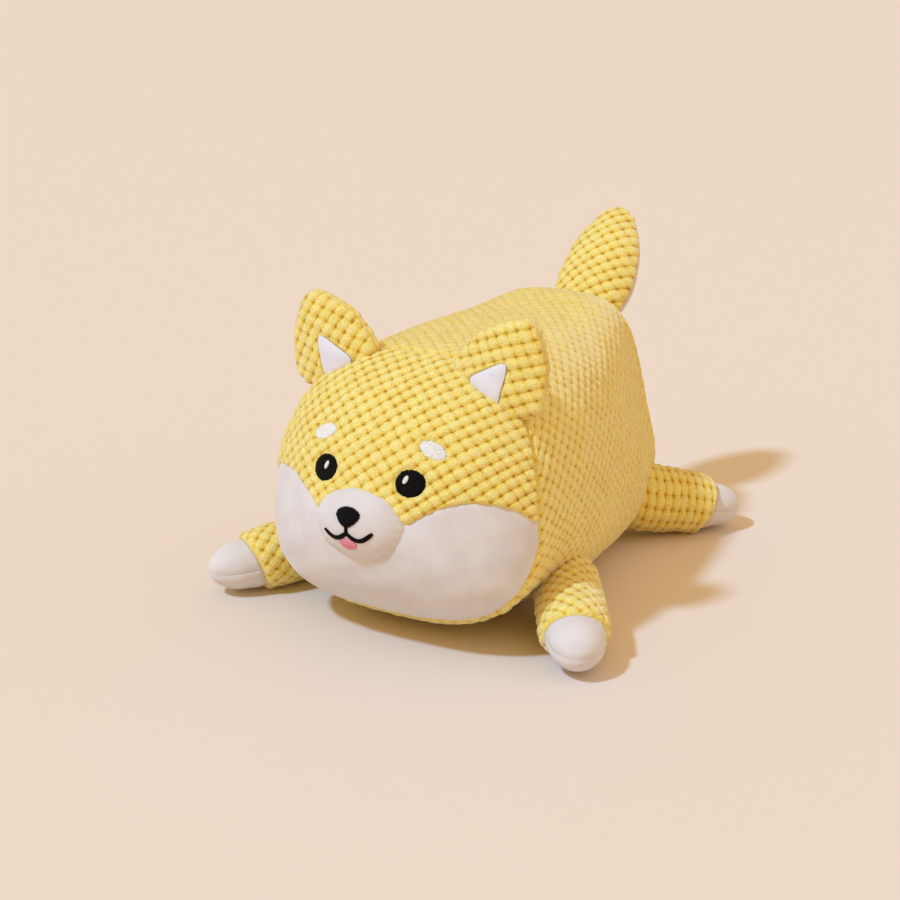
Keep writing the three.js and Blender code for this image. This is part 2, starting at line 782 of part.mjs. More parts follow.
function squeakerPieces() {
  const group = new THREE.Group();
  group.position.set(0, squeakerY, squeakerBottom);
  const upright = (points) => lathe(points, squeakerSegments).rotateX(Math.PI / 2);
  const base = tidy(upright(cupProfile(plugRadius + gap)));
  const cap = tidy(upright(cupProfile(0).slice(0, -1))).rotateX(Math.PI);
  const bellows = tidy(upright(bellowsProfile()));
  const plug = tidy(
    upright([
      [plugBore, -plugFlangeHeight - gap],
      [plugFlange, -plugFlangeHeight - gap],
      [plugFlange, -gap],
      [plugRadius, -gap],
      [plugRadius, plugHeight],
      [plugBore, plugHeight],
      [plugBore, -plugFlangeHeight - gap],
    ])
  );
  const reed = new THREE.BoxGeometry(reedLength, reedWidth, reedThickness);
  const pieces = [
    ["squeaker_base", base, 0],
    ["squeaker_bellows", bellows, cupHeight + gap],
    ["squeaker_cap", cap, 2 * (cupHeight + gap) + bellowsHeight],
    ["squeaker_plug", plug, 0],
    ["squeaker_reed", reed, plugHeight + gap + reedThickness / 2],
  ];
  pieces.forEach(([name, geometry, height]) => {
    const mesh = named(name, geometry, squeakerPlastic);
    mesh.position.z = height;
    group.add(mesh);
  });
  return group;
}

function named(name, geometry, material) {
  const mesh = new THREE.Mesh(geometry, material);
  mesh.name = name;
  return mesh;
}

// Assembly

const toy = new THREE.Group();
const seamSpace = (2 * gap) / bodyWidth;
const insideSeams = [seamHigh + seamSpace, ...bellyAngles.slice(1, -1), bellyAngles.at(-1) - seamSpace];

toy.add(
  named("back_panel", tidy(sidePanel(backAngles)), yellowPlush),
  named("belly_panel", tidy(sidePanel(insideSeams)), yellowPlush),
  named("rump_panel", tidy(dome((a, s, inset) => rumpPoint(a, s, inset, gap), rumpSteps)), yellowPlush)
);

const faceShell = solidOf(dome((a, s, inset) => facePoint(a, s, inset, gap), faceSteps));
toy.add(
  named("face_panel", geometryOf(faceShell.subtract(facePrism(cheekShape(gap / 2)))), yellowPlush),
  named("cheek_panel", geometryOf(faceShell.intersect(facePrism(cheekShape(-gap / 2)))), whitePlush)
);

const muzzleSeat = solidOf(bodyForm(-seat));
toy.add(
  named(
    "muzzle_panel",
    geometryOf(solidOf(muzzleForm(0)).subtract(solidOf(muzzleForm(plush))).subtract(muzzleSeat)),
    whitePlush
  ),
  named("muzzle_stuffing", geometryOf(solidOf(muzzleForm(plush + gap)).subtract(muzzleSeat)), fibre)
);

toy.add(
  named("nose", stitched(noseShape()), blackThread),
  named("mouth", stitched(mouthShape(0)), blackThread),
  named("tongue", stitched(tongueShape(), [mouthShape(gap)]), pinkThread)
);
[
  ["left", 1],
  ["right", -1],
].forEach(([sideName, side]) => {
  const eye = ellipse(side * eyeX, eyeQ, eyeHalfWidth, eyeHalfHeight);
  const sparkX = side * eyeX + (side > 0 ? leftGlintX : rightGlintX);
  const spark = ellipse(sparkX, eyeQ + glintQ, glintHalfWidth, glintHalfHeight, glintTiltDegrees);
  const brow = ellipse(side * browX, browQ, browHalfWidth, browHalfHeight, side * browTiltDegrees);
  toy.add(
    named(`${sideName}_eye`, stitched(eye), blackThread),
    named(`${sideName}_eye_glint`, glint(spark), whiteThread),
    named(`${sideName}_brow`, stitched(brow), whiteThread),
    earPieces(`${sideName}_ear`, side)
  );
  const frontRadii = [frontRootRadius, frontSwellRadius, frontPawRadius];
  const hindRadii = [hindRootRadius, hindSwellRadius, hindPawRadius];
  const front = [frontRootInset, frontRootY, frontReachX, -frontReachY, ...frontRadii];
  const hind = [hindRootInset, bodyLength - hindRootRear, hindReachX, hindReachY, ...hindRadii];
  toy.add(legPieces(`${sideName}_front_leg`, legAt(side, side, frontSwingDegrees, ...front)));
  toy.add(legPieces(`${sideName}_hind_leg`, legAt(side, -side, hindSwingDegrees, ...hind)));
});

toy.add(tailPieces(), squeakerPieces());

// The stuffing of the body is packed as two wads, above and below the middle of the squeaker.
const squeakerHeight = 2 * (cupHeight + gap) + bellowsHeight;
const pocketBottom = squeakerBottom - plugFlangeHeight - gap - pocketClearance;
const pocketTop = squeakerBottom + squeakerHeight + pocketClearance;
const pocket = new THREE.CylinderGeometry(
  squeakerRadius + pocketClearance,
  squeakerRadius + pocketClearance,
  pocketTop - pocketBottom,
  squeakerSegments
)
  .rotateX(Math.PI / 2)
  .translate(0, squeakerY, (pocketTop + pocketBottom) / 2);
const stuffing = solidOf(bodyForm(plush + lining, fillAngles)).subtract(solidOf(pocket));
const wadSplit = squeakerBottom + squeakerHeight / 2;
const wadSpace = (direction) => {
  const block = new THREE.BoxGeometry(2 * bodyLength, 2 * bodyLength, bodyLength);
  block.translate(0, bodyLength / 2, wadSplit + (direction * (bodyLength + gap)) / 2);
  return solidOf(block);
};
toy.add(
  named("upper_stuffing", geometryOf(stuffing.intersect(wadSpace(1))), fibre),
  named("lower_stuffing", geometryOf(stuffing.intersect(wadSpace(-1))), fibre)
);

// Centre the toy over the origin, with its belly on the floor.
const box = new THREE.Box3().setFromObject(toy, true);
toy.position.set(0, -(box.min.y + box.max.y) / 2, 0);
toy.updateMatrixWorld(true);

export default toy;
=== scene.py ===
# %% [markdown]
# A squeaky plush dog
#
# The dog is sewn from two cloths. One is a coral fleece whose pile stands up in rows of soft bobbles, and
# the other is a short white velboa. Both are stuffed tight with polyester fibre, so the cloth has almost no
# folds: what the eye reads is the bobbled surface, the seams that draw it in, and a few threads of
# embroidery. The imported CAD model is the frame. It gives every seam, hinge and outline, and this script
# dresses it.

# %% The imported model
import json
import math

import bpy
import numpy as np
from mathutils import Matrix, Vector


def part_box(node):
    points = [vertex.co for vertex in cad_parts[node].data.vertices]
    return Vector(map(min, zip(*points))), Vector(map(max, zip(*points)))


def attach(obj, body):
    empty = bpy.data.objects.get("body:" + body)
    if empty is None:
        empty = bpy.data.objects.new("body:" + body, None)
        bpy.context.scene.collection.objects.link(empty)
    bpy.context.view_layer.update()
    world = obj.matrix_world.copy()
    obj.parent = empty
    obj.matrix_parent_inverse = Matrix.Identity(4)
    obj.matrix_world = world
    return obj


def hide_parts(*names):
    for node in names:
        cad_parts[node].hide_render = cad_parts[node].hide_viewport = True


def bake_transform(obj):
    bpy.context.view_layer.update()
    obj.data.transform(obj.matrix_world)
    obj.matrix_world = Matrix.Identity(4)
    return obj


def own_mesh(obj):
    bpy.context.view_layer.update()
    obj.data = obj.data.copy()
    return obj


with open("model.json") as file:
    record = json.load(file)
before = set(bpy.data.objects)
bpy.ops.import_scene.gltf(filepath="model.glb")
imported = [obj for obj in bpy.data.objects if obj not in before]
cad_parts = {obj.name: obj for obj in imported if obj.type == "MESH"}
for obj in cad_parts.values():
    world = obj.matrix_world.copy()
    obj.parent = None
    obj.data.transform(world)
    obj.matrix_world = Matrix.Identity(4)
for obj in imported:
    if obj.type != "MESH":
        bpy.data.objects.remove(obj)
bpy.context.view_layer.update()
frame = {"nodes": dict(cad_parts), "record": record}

# %% [markdown]
# Units and colours
#
# Blender works in metres, and a sewing pattern is written in millimetres. All sizes here are millimetres,
# and one factor turns them to metres when a mesh is made. Colours are picked as sRGB hex values, the way a
# dye chart gives them, but shaders add up light, so one function turns them to linear numbers.

# %% Units and colours
MM = 0.001


def colour(hex_value):
    """Linear RGBA from an sRGB hex value such as #f6d36b."""
    channels = [int(hex_value[i:i + 2], 16) / 255 for i in (1, 3, 5)]
    linear = [c / 12.92 if c <= 0.04045 else ((c + 0.055) / 1.055) ** 2.4 for c in channels]
    return (*linear, 1.0)


print("yellow in linear light:", [round(c, 3) for c in colour("#f6d36b")])

# %% [markdown]
# Shader nodes
#
# A material is a graph: textures and sums feed the sockets of a shader. The graph could be drawn by hand in
# the shader editor. Here one function adds any kind of node with its settings and links, which reads like
# the graph itself. A second one starts a material and gives each point's place in millimetres, so that
# every grain is written in its real size.

# %% Nodes
def node(tree, kind, settings=None, inputs=None, stops=()):
    """Adds one shader node.

    An input is a value, a socket or another node, whose first output then feeds it. stops are the places and
    colours of a colour ramp, in rising order.
    """
    made = tree.nodes.new("ShaderNode" + kind)
    for name, value in (settings or {}).items():
        setattr(made, name, value)
    for name, value in (inputs or {}).items():
        if isinstance(value, bpy.types.Node):
            value = value.outputs[0]
        if isinstance(value, bpy.types.NodeSocket):
            tree.links.new(value, made.inputs[name])
        else:
            made.inputs[name].default_value = value
    for k, (place, hex_value) in enumerate(stops):
        elements = made.color_ramp.elements
        element = elements[k] if k < len(elements) else elements.new(place)
        element.position = place
        element.color = colour(hex_value)
    return made


def new_material(name):
    """An empty material, its tree of nodes, and the place of each point in millimetres."""
    material = bpy.data.materials.new(name)
    material.use_nodes = True
    tree = material.node_tree
    tree.nodes.clear()
    place = node(tree, "TexCoord").outputs["Object"]
    return material, tree, node(tree, "VectorMath", {"operation": "SCALE"}, {0: place, "Scale": 1 / MM})


def shade(tree, inputs):
    """Ends a material with a shader that has these inputs."""
    node(tree, "OutputMaterial", inputs={"Surface": node(tree, "BsdfPrincipled", inputs=inputs)})


print("a metre holds", 1 / MM, "units of texture")

# %% [markdown]
# The yellow cloth
#
# It is a polyester coral fleece, knitted and then sheared so that its pile stands in bobbles about 4 mm
# apart. Deeper grooves part the rows and shallower creases part the beads of a row, both slanted. Each
# bobble is the top of a ball: its height falls with the square of the distance from its middle, to a pit
# where four meet. The bobbles could be a texture alone, but then the outline of the toy would be smooth. So
# they are in the mesh, and the shader repeats the same sum to draw each groove as sharply as the picture
# can show it. For that each point of the cloth carries its count of grooves both ways.

# %% Height of a bobble in the shader
BEAD_SHARE = 0.42
ROW_SHARE = 0.58
CLOTH_IOR = 1.5
CLOTH_SPECULAR = 0.2


def squared_fall(tree, count, share):
    """A share of the squared distance from a bobble's middle. count is a whole number on each groove."""
    within = node(tree, "Math", {"operation": "FRACT"}, {0: count})
    off = node(tree, "Math", {"operation": "MULTIPLY_ADD"}, {0: within, 1: 2.0, 2: -1.0})
    squared = node(tree, "Math", {"operation": "MULTIPLY"}, {0: off, 1: off})
    return node(tree, "Math", {"operation": "MULTIPLY"}, {0: squared, 1: share})


def bobble_height(tree, count):
    """The height of a bobble, 1 on its crown, from both counts of grooves."""
    beads = squared_fall(tree, count["X"], BEAD_SHARE)
    rows = squared_fall(tree, count["Y"], ROW_SHARE)
    fallen = node(tree, "Math", {"operation": "ADD"}, {0: beads, 1: rows})
    left = node(tree, "Math", {"operation": "SUBTRACT"}, {0: 1.0, 1: fallen})
    return node(tree, "Math", {"operation": "SQRT"}, {0: left})


print("a crease half way along a row lies at", round(math.sqrt(1 - BEAD_SHARE), 2), "of a bobble's height")

# %% [markdown]
# Pile scatters light in all directions and fills its own valleys with coloured light. So the pits between
# the bobbles look deeper and more orange than the crowns, and the rim of each form turns pale. The first is
# painted into the colour: a ramp over the height of the pile goes from painted shade, dark orange in the
# pits, through the fleece's yellow to painted light on the crowns. The shader's sheen gives the second. Each
# bobble is moved a random step along that painted shade, as it leans its own way. The fibres are about
# 0.02 mm thick, far too fine to show, so their clumps are drawn at 0.6 mm.

# %% Yellow coral fleece
BEAD_SPREAD = 0.14
SEWN_FLAT = 0.8
GROOVE_BUMP = 0.4
PILE_CLUMP = 0.6
PILE_DETAIL = 3.0
PILE_BUMP = 0.45
PILE_SPECK = 0.55
# The fleece's yellow from pit to crown, with painted shade in the pits and painted light on the crowns.
PILE_YELLOW_AND_PAINTED_SHADE = [(0.0, "#8f5e0a"), (0.4, "#cb9924"), (0.62, "#f4cf57"), (0.8, "#ffe87e"), (1.0, "#fff09c")]
SPECK_COLOURS = [(0.35, "#d2c8b2"), (0.62, "#ffffff")]


def coral_fleece():
    material, tree, where = new_material("yellow_coral_fleece")
    grooves = node(tree, "Attribute", {"attribute_name": "grooves"}).outputs["Vector"]
    count = node(tree, "SeparateXYZ", inputs={"Vector": grooves}).outputs
    raised = node(tree, "Math", {"operation": "SUBTRACT"}, {0: bobble_height(tree, count), 1: SEWN_FLAT})
    from_flat = node(tree, "Math", {"operation": "MULTIPLY"}, {0: raised, 1: count["Z"]})
    bobble = node(tree, "VectorMath", {"operation": "FLOOR"}, {0: grooves})
    # A random step of painted shade for each bobble, as it leans its own way.
    random_lean_shade = node(tree, "TexWhiteNoise", inputs={"Vector": bobble})
    centred = node(tree, "Math", {"operation": "SUBTRACT"}, {0: random_lean_shade, 1: 0.5})
    toned = node(tree, "Math", {"operation": "MULTIPLY_ADD"}, {0: centred, 1: BEAD_SPREAD, 2: from_flat})
    shown = node(tree, "Math", {"operation": "ADD"}, {0: toned, 1: SEWN_FLAT})
    # Painted shade: the ramp makes the pits dark orange and the crowns pale, from the height of the pile.
    pile = node(tree, "ValToRGB", inputs={"Fac": shown}, stops=PILE_YELLOW_AND_PAINTED_SHADE)
    clumps = node(tree, "TexNoise", inputs={"Vector": where, "Scale": 1 / PILE_CLUMP, "Detail": PILE_DETAIL})
    specks = node(tree, "ValToRGB", inputs={"Fac": clumps}, stops=SPECK_COLOURS)
    multiply = {"data_type": "RGBA", "blend_type": "MULTIPLY"}
    speckled = node(tree, "Mix", multiply, {0: PILE_SPECK, 6: pile, 7: specks}).outputs[2]
    clumped = node(tree, "Math", {"operation": "MULTIPLY"}, {0: clumps, 1: PILE_BUMP})
    surface = node(tree, "Math", {"operation": "MULTIPLY_ADD"}, {0: from_flat, 1: GROOVE_BUMP, 2: clumped})
    shade(tree, {
        "Base Color": speckled,
        "Normal": node(tree, "Bump", inputs={"Height": surface, "Distance": MM}),
        "Roughness": 0.95,
        "IOR": CLOTH_IOR,
        "Specular IOR Level": CLOTH_SPECULAR,
        "Sheen Weight": 1.0,
        "Sheen Roughness": 0.4,
        "Sheen Tint": colour("#fff8e6"),
    })
    return material


yellow_fleece = coral_fleece()
print("made", yellow_fleece.name)

# %% [markdown]
# The white cloth
#
# Cheeks, muzzle, paws, the rear of the tail and the patches in the ears are polyester velboa, a knit with a
# 1 to 2 mm pile that lies down. It is smooth from a step away, with a velvety edge and faint patches where
# the pile leans another way. Hair particles could draw the pile, but it is too short to show, so a faint
# bump and a sheen stand for it. The patches in the ears are cut from a whiter, cooler cloth.

# %% White velboa
VELBOA_PATCH = 9.0
VELBOA_GRAIN = 0.45
VELBOA_BUMP = 0.08


def velboa(name, dark, light):
    material, tree, where = new_material(name)
    patches = node(tree, "TexNoise", inputs={"Vector": where, "Scale": 1 / VELBOA_PATCH, "Detail": 2.0})
    grain = node(tree, "TexNoise", inputs={"Vector": where, "Scale": 1 / VELBOA_GRAIN, "Detail": PILE_DETAIL})
    shade(tree, {
        "Base Color": node(tree, "ValToRGB", inputs={"Fac": patches}, stops=[(0.35, dark), (0.65, light)]),
        "Normal": node(tree, "Bump", inputs={"Height": grain, "Distance": VELBOA_BUMP * MM}),
        "Roughness": 0.85,
        "IOR": CLOTH_IOR,
        "Specular IOR Level": CLOTH_SPECULAR,
        "Sheen Weight": 0.25,
        "Sheen Roughness": 0.35,
    })
    return material


white_velboa = velboa("white_velboa", "#d8d1d1", "#dfd9d9")
cool_velboa = velboa("cool_white_velboa", "#e1dfec", "#e9e8f4")
print("made", white_velboa.name, cool_velboa.name)

# %% [markdown]
# Thread
#
# The embroidery is rayon thread, which has a soft lustre: each thread is a small shiny cylinder. Each could
# be a curve of its own, but thousands of them would show no more than rows of bump on a low cushion. Thread
# is 0.3 mm thick, and its rows are drawn about twice as far apart, so that they show: Blender's diagonal
# bands repeat every 0.36 units, which this scale makes 0.65 mm.

# %% Rayon thread
THREAD_ROW = 0.6
THREAD_BUMP = 0.12
BAND_SCALE = 1 / 1.8


def embroidery(name, dark, light):
    material, tree, where = new_material(name)
    rows = node(tree, "TexWave", {"wave_type": "BANDS", "bands_direction": "DIAGONAL"}, {
        "Vector": where,
        "Scale": BAND_SCALE,
        "Distortion": 1.5,
        "Detail": 1.0,
    })
    flecks = node(tree, "TexNoise", inputs={"Vector": where, "Scale": 1 / THREAD_ROW, "Detail": PILE_DETAIL})
    ridges = {"Height": rows.outputs["Fac"], "Distance": THREAD_BUMP * MM}
    shade(tree, {
        "Base Color": node(tree, "ValToRGB", inputs={"Fac": flecks}, stops=[(0.3, dark), (0.7, light)]),
        "Normal": node(tree, "Bump", inputs=ridges),
        "Roughness": 0.6,
        "IOR": CLOTH_IOR,
        "Specular IOR Level": 0.08,
    })
    return material


black_thread = embroidery("black_rayon_thread", "#040304", "#100e10")
white_thread = embroidery("white_rayon_thread", "#dcd8d6", "#fbfaf8")
pink_thread = embroidery("pink_rayon_thread", "#e07f97", "#f3a3b6")
print("made", black_thread.name, white_thread.name, pink_thread.name)

# %% [markdown]
# Fibre and plastic
#
# The loose fibre inside is crimped polyester, matt and white. The squeaker is blow-moulded polyethylene,
# waxy and a little glossy. Neither shows, so each is one colour with a bump: tufts on the fibre, and the
# faint ripple of the mould on the plastic.

# %% Polyester fibre and polyethylene
def inner_material(name, hex_value, roughness, grain, depth):
    material, tree, where = new_material(name)
    ripple = node(tree, "TexNoise", inputs={"Vector": where, "Scale": 1 / grain, "Detail": PILE_DETAIL})
    shade(tree, {
        "Base Color": colour(hex_value),
        "Normal": node(tree, "Bump", inputs={"Height": ripple, "Distance": depth * MM}),
        "Roughness": roughness,
        "IOR": CLOTH_IOR,
        "Specular IOR Level": CLOTH_SPECULAR,
        "Sheen Weight": 0.2,
        "Sheen Roughness": 0.5,
    })
    return material


polyester_fibre = inner_material("polyester_fibre_fill", "#f4f4f1", roughness=0.95, grain=1.2, depth=0.5)
polyethylene = inner_material("blown_polyethylene", "#e8e5da", roughness=0.35, grain=2.0, depth=0.02)
print("made", polyester_fibre.name, polyethylene.name)

# %% [markdown]
# The sewing pattern
#
# The body is a row of sections, each a rounded box that leans with the cloth. They run from the seam round
# the face to the seam round the rump, and a dome closes each end. It could be sculpted, but a formula gives
# each point of the cloth its place on the pattern too. These are the same shares and sizes as in the CAD
# model, so each piece of cloth lies where the CAD says. The frame only adds how far the whole toy is
# shifted along Y.

# %% Body sizes
BODY_LENGTH = 134.0
BODY_WIDTH = 104.0
BODY_HEIGHT = 98.0
BELLY_CUT = 0.5
FACE_LEAN = math.radians(17)
FACE_BULGE = 28.0
RUMP_BULGE = 15.0
FACE_ROUND_SHARE = 0.7
RUMP_ROUND_SHARE = 0.6
SIDE_SEAM = math.radians(-38)
SQUEAKER_AHEAD_OF_MIDDLE = 1.0
SECTION_KEYS = ("along", "lean", "centre", "width", "top", "bottom", "above", "below", "pinch")
SECTION_SHARES = np.array([
    [0, 1, 0.428, 0.987, 0.98, 0.116, 2.6, 3, 0.05],
    [0.104, 0.82, 0.418, 1, 0.99, 0.045, 2.6, 2.6, 0.04],
    [0.306, 0.53, 0.408, 0.985, 0.99, 0, 2.7, 2.8, 0.05],
    [0.567, 0.29, 0.388, 0.915, 0.995, 0, 2.9, 3, 0.1],
    [0.828, 0, 0.368, 0.825, 1, 0, 3.2, 3, 0.18],
    [1, -0.18, 0.368, 0.715, 0.945, 0.066, 3.4, 2.8, 0.21],
])

reed_low, reed_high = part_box("squeaker_reed")
SHIFT_Y = (reed_low.y + reed_high.y) / 2 / MM - (BODY_LENGTH / 2 - SQUEAKER_AHEAD_OF_MIDDLE)
print("the toy is shifted", round(SHIFT_Y, 2), "mm along Y")

# %% [markdown]
# Six sections are given, and the cloth needs one at any place between them. A loft with straight sides
# would show a crease at each, so a cubic curve runs through all six, guided by one more beyond each end.

# %% A section at any place
ACROSS = np.array([1.0, 0.0, 0.0])
UPWARDS = np.array([0.0, 0.0, 1.0])


def section_at(place):
    """The section at places from 0, the face seam, to 1, the rump seam, on a smooth curve."""
    table = np.vstack([
        2 * SECTION_SHARES[0] - SECTION_SHARES[1],
        SECTION_SHARES,
        2 * SECTION_SHARES[-1] - SECTION_SHARES[-2],
    ])
    last = len(SECTION_SHARES) - 1
    span = np.clip(np.asarray(place, float), 0, 1) * last
    i = np.minimum(span.astype(int), last - 1)
    f = (span - i)[..., None]
    p0, p1, p2, p3 = (table[i + k] for k in range(4))
    bend = 2 * p0 - 5 * p1 + 4 * p2 - p3
    twist = 3 * p1 - p0 - 3 * p2 + p3
    values = (2 * p1 + (p2 - p0) * f + bend * f**2 + twist * f**3) / 2
    share = dict(zip(SECTION_KEYS, np.moveaxis(values, -1, 0)))
    lean = share["lean"] * FACE_LEAN
    centre = share["centre"] * BODY_HEIGHT
    zero = np.zeros_like(lean)
    return {
        "centre": np.stack([zero, share["along"] * BODY_LENGTH + SHIFT_Y, centre], -1),
        "rise": np.stack([zero, np.sin(lean), np.cos(lean)], -1),
        "forward": np.stack([zero, -np.cos(lean), np.sin(lean)], -1),
        "half_width": share["width"] * BODY_WIDTH / 2,
        "up": (share["top"] * BODY_HEIGHT - centre) / np.cos(lean),
        "down": (centre - share["bottom"] * BODY_HEIGHT + BELLY_CUT) / np.cos(lean),
        "above": share["above"],
        "below": share["below"],
        "pinch": share["pinch"],
    }


print("half way along, the body is", round(2 * float(section_at(0.5)["half_width"]), 1), "mm wide")

# %% [markdown]
# A section's outline is a superellipse: a power of 2 makes a circle and a higher one a rounder box.
# Stuffing makes the same form, because it pushes a flat cloth outwards everywhere but cannot fill its
# corners.

# %% Points of a section
def section_point(section, angle, share, push):
    """A point of a section, shrunk by a share towards its centre and pushed along its normal."""
    cos = np.cos(angle)
    sin = np.sin(angle)
    height = np.where(sin >= 0, section["up"], section["down"])
    power = np.where(sin >= 0, section["above"], section["below"])
    radius = (np.abs(cos / section["half_width"])**power + np.abs(sin / height)**power)**(-1 / power)
    rise = radius * sin
    narrow = 1 - section["pinch"] * np.maximum(rise / height, 0)
    return (
        section["centre"]
        + (radius * cos * narrow * share)[..., None] * ACROSS
        + (rise * share)[..., None] * section["rise"]
        + np.asarray(push)[..., None] * section["forward"]
    )


def bulge(share, depth, roundness):
    """The height of a dome at a share of the way from its pole to its rim."""
    return depth * np.maximum(1 - share**2, 0)**roundness


def side_point(angle, place):
    return section_point(section_at(place), angle, 1.0, np.zeros_like(angle))


def rump_point(angle, share):
    behind = bulge(share, RUMP_BULGE, RUMP_ROUND_SHARE)
    return section_point(section_at(np.ones_like(angle)), angle, share, -behind)


print("top of the back:", np.round(side_point(np.array(math.pi / 2), np.array(0.5)), 1), "mm")

# %% [markdown]
# Where the face cloth ends
#
# The cheeks reach a little round the side of the head, so the seam between face and back isn't a plane. It
# lies a few millimetres behind it beside the cheeks, and almost on it elsewhere.

# %% Wrap of the face cloth
WRAP_LEAST = 0.4
WRAP_MOST = 5.2
WRAP_MIDDLE = math.radians(-4)
WRAP_SPREAD = math.radians(14)
WRAP_STEPS = 8
PLACE_LENGTH = SECTION_SHARES[1, 0] * BODY_LENGTH * (len(SECTION_SHARES) - 1)


def wrap(angle):
    """How far behind the face's plane the seam between the face and the back lies: most beside the cheeks."""
    right = np.angle(np.exp(1j * (angle - WRAP_MIDDLE)))
    left = np.angle(np.exp(1j * (math.pi - angle - WRAP_MIDDLE)))
    near = np.exp(-(right / WRAP_SPREAD)**2) + np.exp(-(left / WRAP_SPREAD)**2)
    return WRAP_LEAST + (WRAP_MOST - WRAP_LEAST) * near


print("beside the cheeks the seam lies", round(float(wrap(WRAP_MIDDLE)), 1), "mm behind the face's plane")

# %% [markdown]
# How the stuffing settled
#
# Fibre fill packs unevenly and shifts when the toy is handled, so no toy is quite its pattern. Cloth
# simulation could sag it, but it wouldn't give the dents that this one has. So a few soft bumps, each with
# a place, a reach and a depth in millimetres, move the cloth and the wads under it alike.

# %% Dents and rises
CHIN_IN = 2.8
CHIN_Y, CHIN_LONG = 0.0, 34.0
CHIN_Z, CHIN_TALL = 24.0, 19.0
FLANK_IN = 4.6
FLANK_Y, FLANK_LONG = 125.0, 34.0
FLANK_Z, FLANK_TALL = 62.0, 26.0
BACK_DIP = 2.0
DIP_Y, DIP_LONG = 95.0, 21.0
RUMP_RISE = 1.6
RISE_Y, RISE_LONG = 130.0, 16.0
TOP_POWER = 5
TUCK = 12.0
TUCK_Y, TUCK_LONG = 21.0, 19.0
TUCK_X, TUCK_TALL = 15.0, 45.0
TUCK_POWER = 1.6


def settle(points):
    """Moves the body's cloth as its stuffing has settled.

    The chin goes in on the toy's right, the flanks go in at the rear, the back sinks before the rump, and the
    belly is tucked up behind the cheeks, where the front legs are sewn in.
    """
    y = points[..., 1] - SHIFT_Y
    z = points[..., 2]
    chin = np.exp(-((y - CHIN_Y) / CHIN_LONG)**2 - ((z - CHIN_Z) / CHIN_TALL)**2)
    flank = np.exp(-((y - FLANK_Y) / FLANK_LONG)**2 - ((z - FLANK_Z) / FLANK_TALL)**2)
    across = points[..., 0] / (BODY_WIDTH / 2)
    aside = CHIN_IN * chin * np.clip((1 - across) / 2, 0, 1) - FLANK_IN * flank * across
    rise = RUMP_RISE * np.exp(-((y - RISE_Y) / RISE_LONG)**2)
    rise = rise - BACK_DIP * np.exp(-((y - DIP_Y) / DIP_LONG)**2)
    outer = np.clip((np.abs(points[..., 0]) - TUCK_X) / (BODY_WIDTH / 2 - TUCK_X), 0, 1)**TUCK_POWER
    tuck = TUCK * np.exp(-((y - TUCK_Y) / TUCK_LONG)**2) * outer * np.clip(1 - z / TUCK_TALL, 0, 1)
    lift = rise * np.clip(z / BODY_HEIGHT, 0, 1)**TOP_POWER + tuck
    return points + aside[..., None] * ACROSS + lift[..., None] * UPWARDS


BODY_MIDDLE = np.array([0.0, SHIFT_Y + BODY_LENGTH / 2, BODY_HEIGHT / 2])
print("the middle of the body moves to", np.round(settle(BODY_MIDDLE), 2), "mm")

# %% [markdown]
# The bobbles
#
# The grooves also shape the mesh: each bobble is a cushion between four pits. A place on the flat cloth, in
# millimetres, gives the count of grooves both ways, and the two counts give the height of the pile. No such
# cloth is perfect, so the lattice sways a little: two slow waves cross it at a slant.

# %% Lattice of grooves
BOBBLE_LONG = 6.0
BOBBLE_WIDE = 5.2
SWAY = 0.35
SWAY_LENGTH = 31.0
SWAY_SLANT = 0.4
CROSS_ALONG = -0.5
CROSS_ASIDE = 1.3
CROSS_PHASE = 2.1
SWAY_PHASES = (0.7, 2.9)


def sway(u, v, phase):
    """A slow wander over the cloth, between about -1 and 1."""
    turn = 2 * math.pi / SWAY_LENGTH
    first = np.sin(turn * (u + SWAY_SLANT * v) + phase)
    second = np.sin(turn * (CROSS_ASIDE * v + CROSS_ALONG * u) + CROSS_PHASE * phase)
    return (first + second) / 2


def groove_counts(u, v):
    """How many grooves of each family lie before a place on the flat cloth."""
    u = u + SWAY * sway(u, v, SWAY_PHASES[0])
    v = v + SWAY * sway(v, u, SWAY_PHASES[1])
    return u / BOBBLE_LONG + v / BOBBLE_WIDE, u / BOBBLE_LONG - v / BOBBLE_WIDE


print("each bobble covers", BOBBLE_LONG * BOBBLE_WIDE / 2, "square millimetres of cloth")

# %% [markdown]
# Each bobble has its own height as well, from a table of random numbers that its two counts look up. The
# table is the same at each run, because its generator starts from a fixed seed.

# %% Height of a bobble in the mesh
BOBBLE_HIGH = 1.5
HEIGHT_SPREAD = 0.2
FUZZ = 0.13
FULL_PILE = 0.85
LATTICE_TABLE = 97

bobble_heights = np.random.default_rng(4).uniform(-1, 1, (LATTICE_TABLE, LATTICE_TABLE))
loose_fibres = np.random.default_rng(7)


def bobbles(a, b):
    """The height of the pile, 0 in a pit and about 1 on a crown, from the two counts of grooves."""
    bead = 2 * (a - np.floor(a)) - 1
    row = 2 * (b - np.floor(b)) - 1
    height = np.sqrt(1 - BEAD_SHARE * bead**2 - ROW_SHARE * row**2)
    i = np.floor(a).astype(int) % LATTICE_TABLE
    j = np.floor(b).astype(int) % LATTICE_TABLE
    return height * (1 + HEIGHT_SPREAD * bobble_heights[i, j])


print("the first bobble is", round(BOBBLE_HIGH * float(bobbles(0.5, 0.5)), 2), "mm high")

# %% [markdown]
# From a grid of points to a piece of cloth
#
# Each piece of cloth is a grid of points on its form. Blender's displace modifier could raise the pile, but
# it needs an image or a texture and can't count grooves, so numpy does it. Normals show which way the pile
# stands, and the fuzz on it fades where the lines of the grid crowd together, since it would turn to spikes
# there.

# %% Grids of points
FINE = 0.62
LINING_EVERY = 4
NO_LENGTH = 1e-12


def steps_for(length, spacing=FINE):
    """How many steps of about that spacing fit a length, as a multiple of the lining's."""
    return max(1, round(length / spacing / LINING_EVERY)) * LINING_EVERY


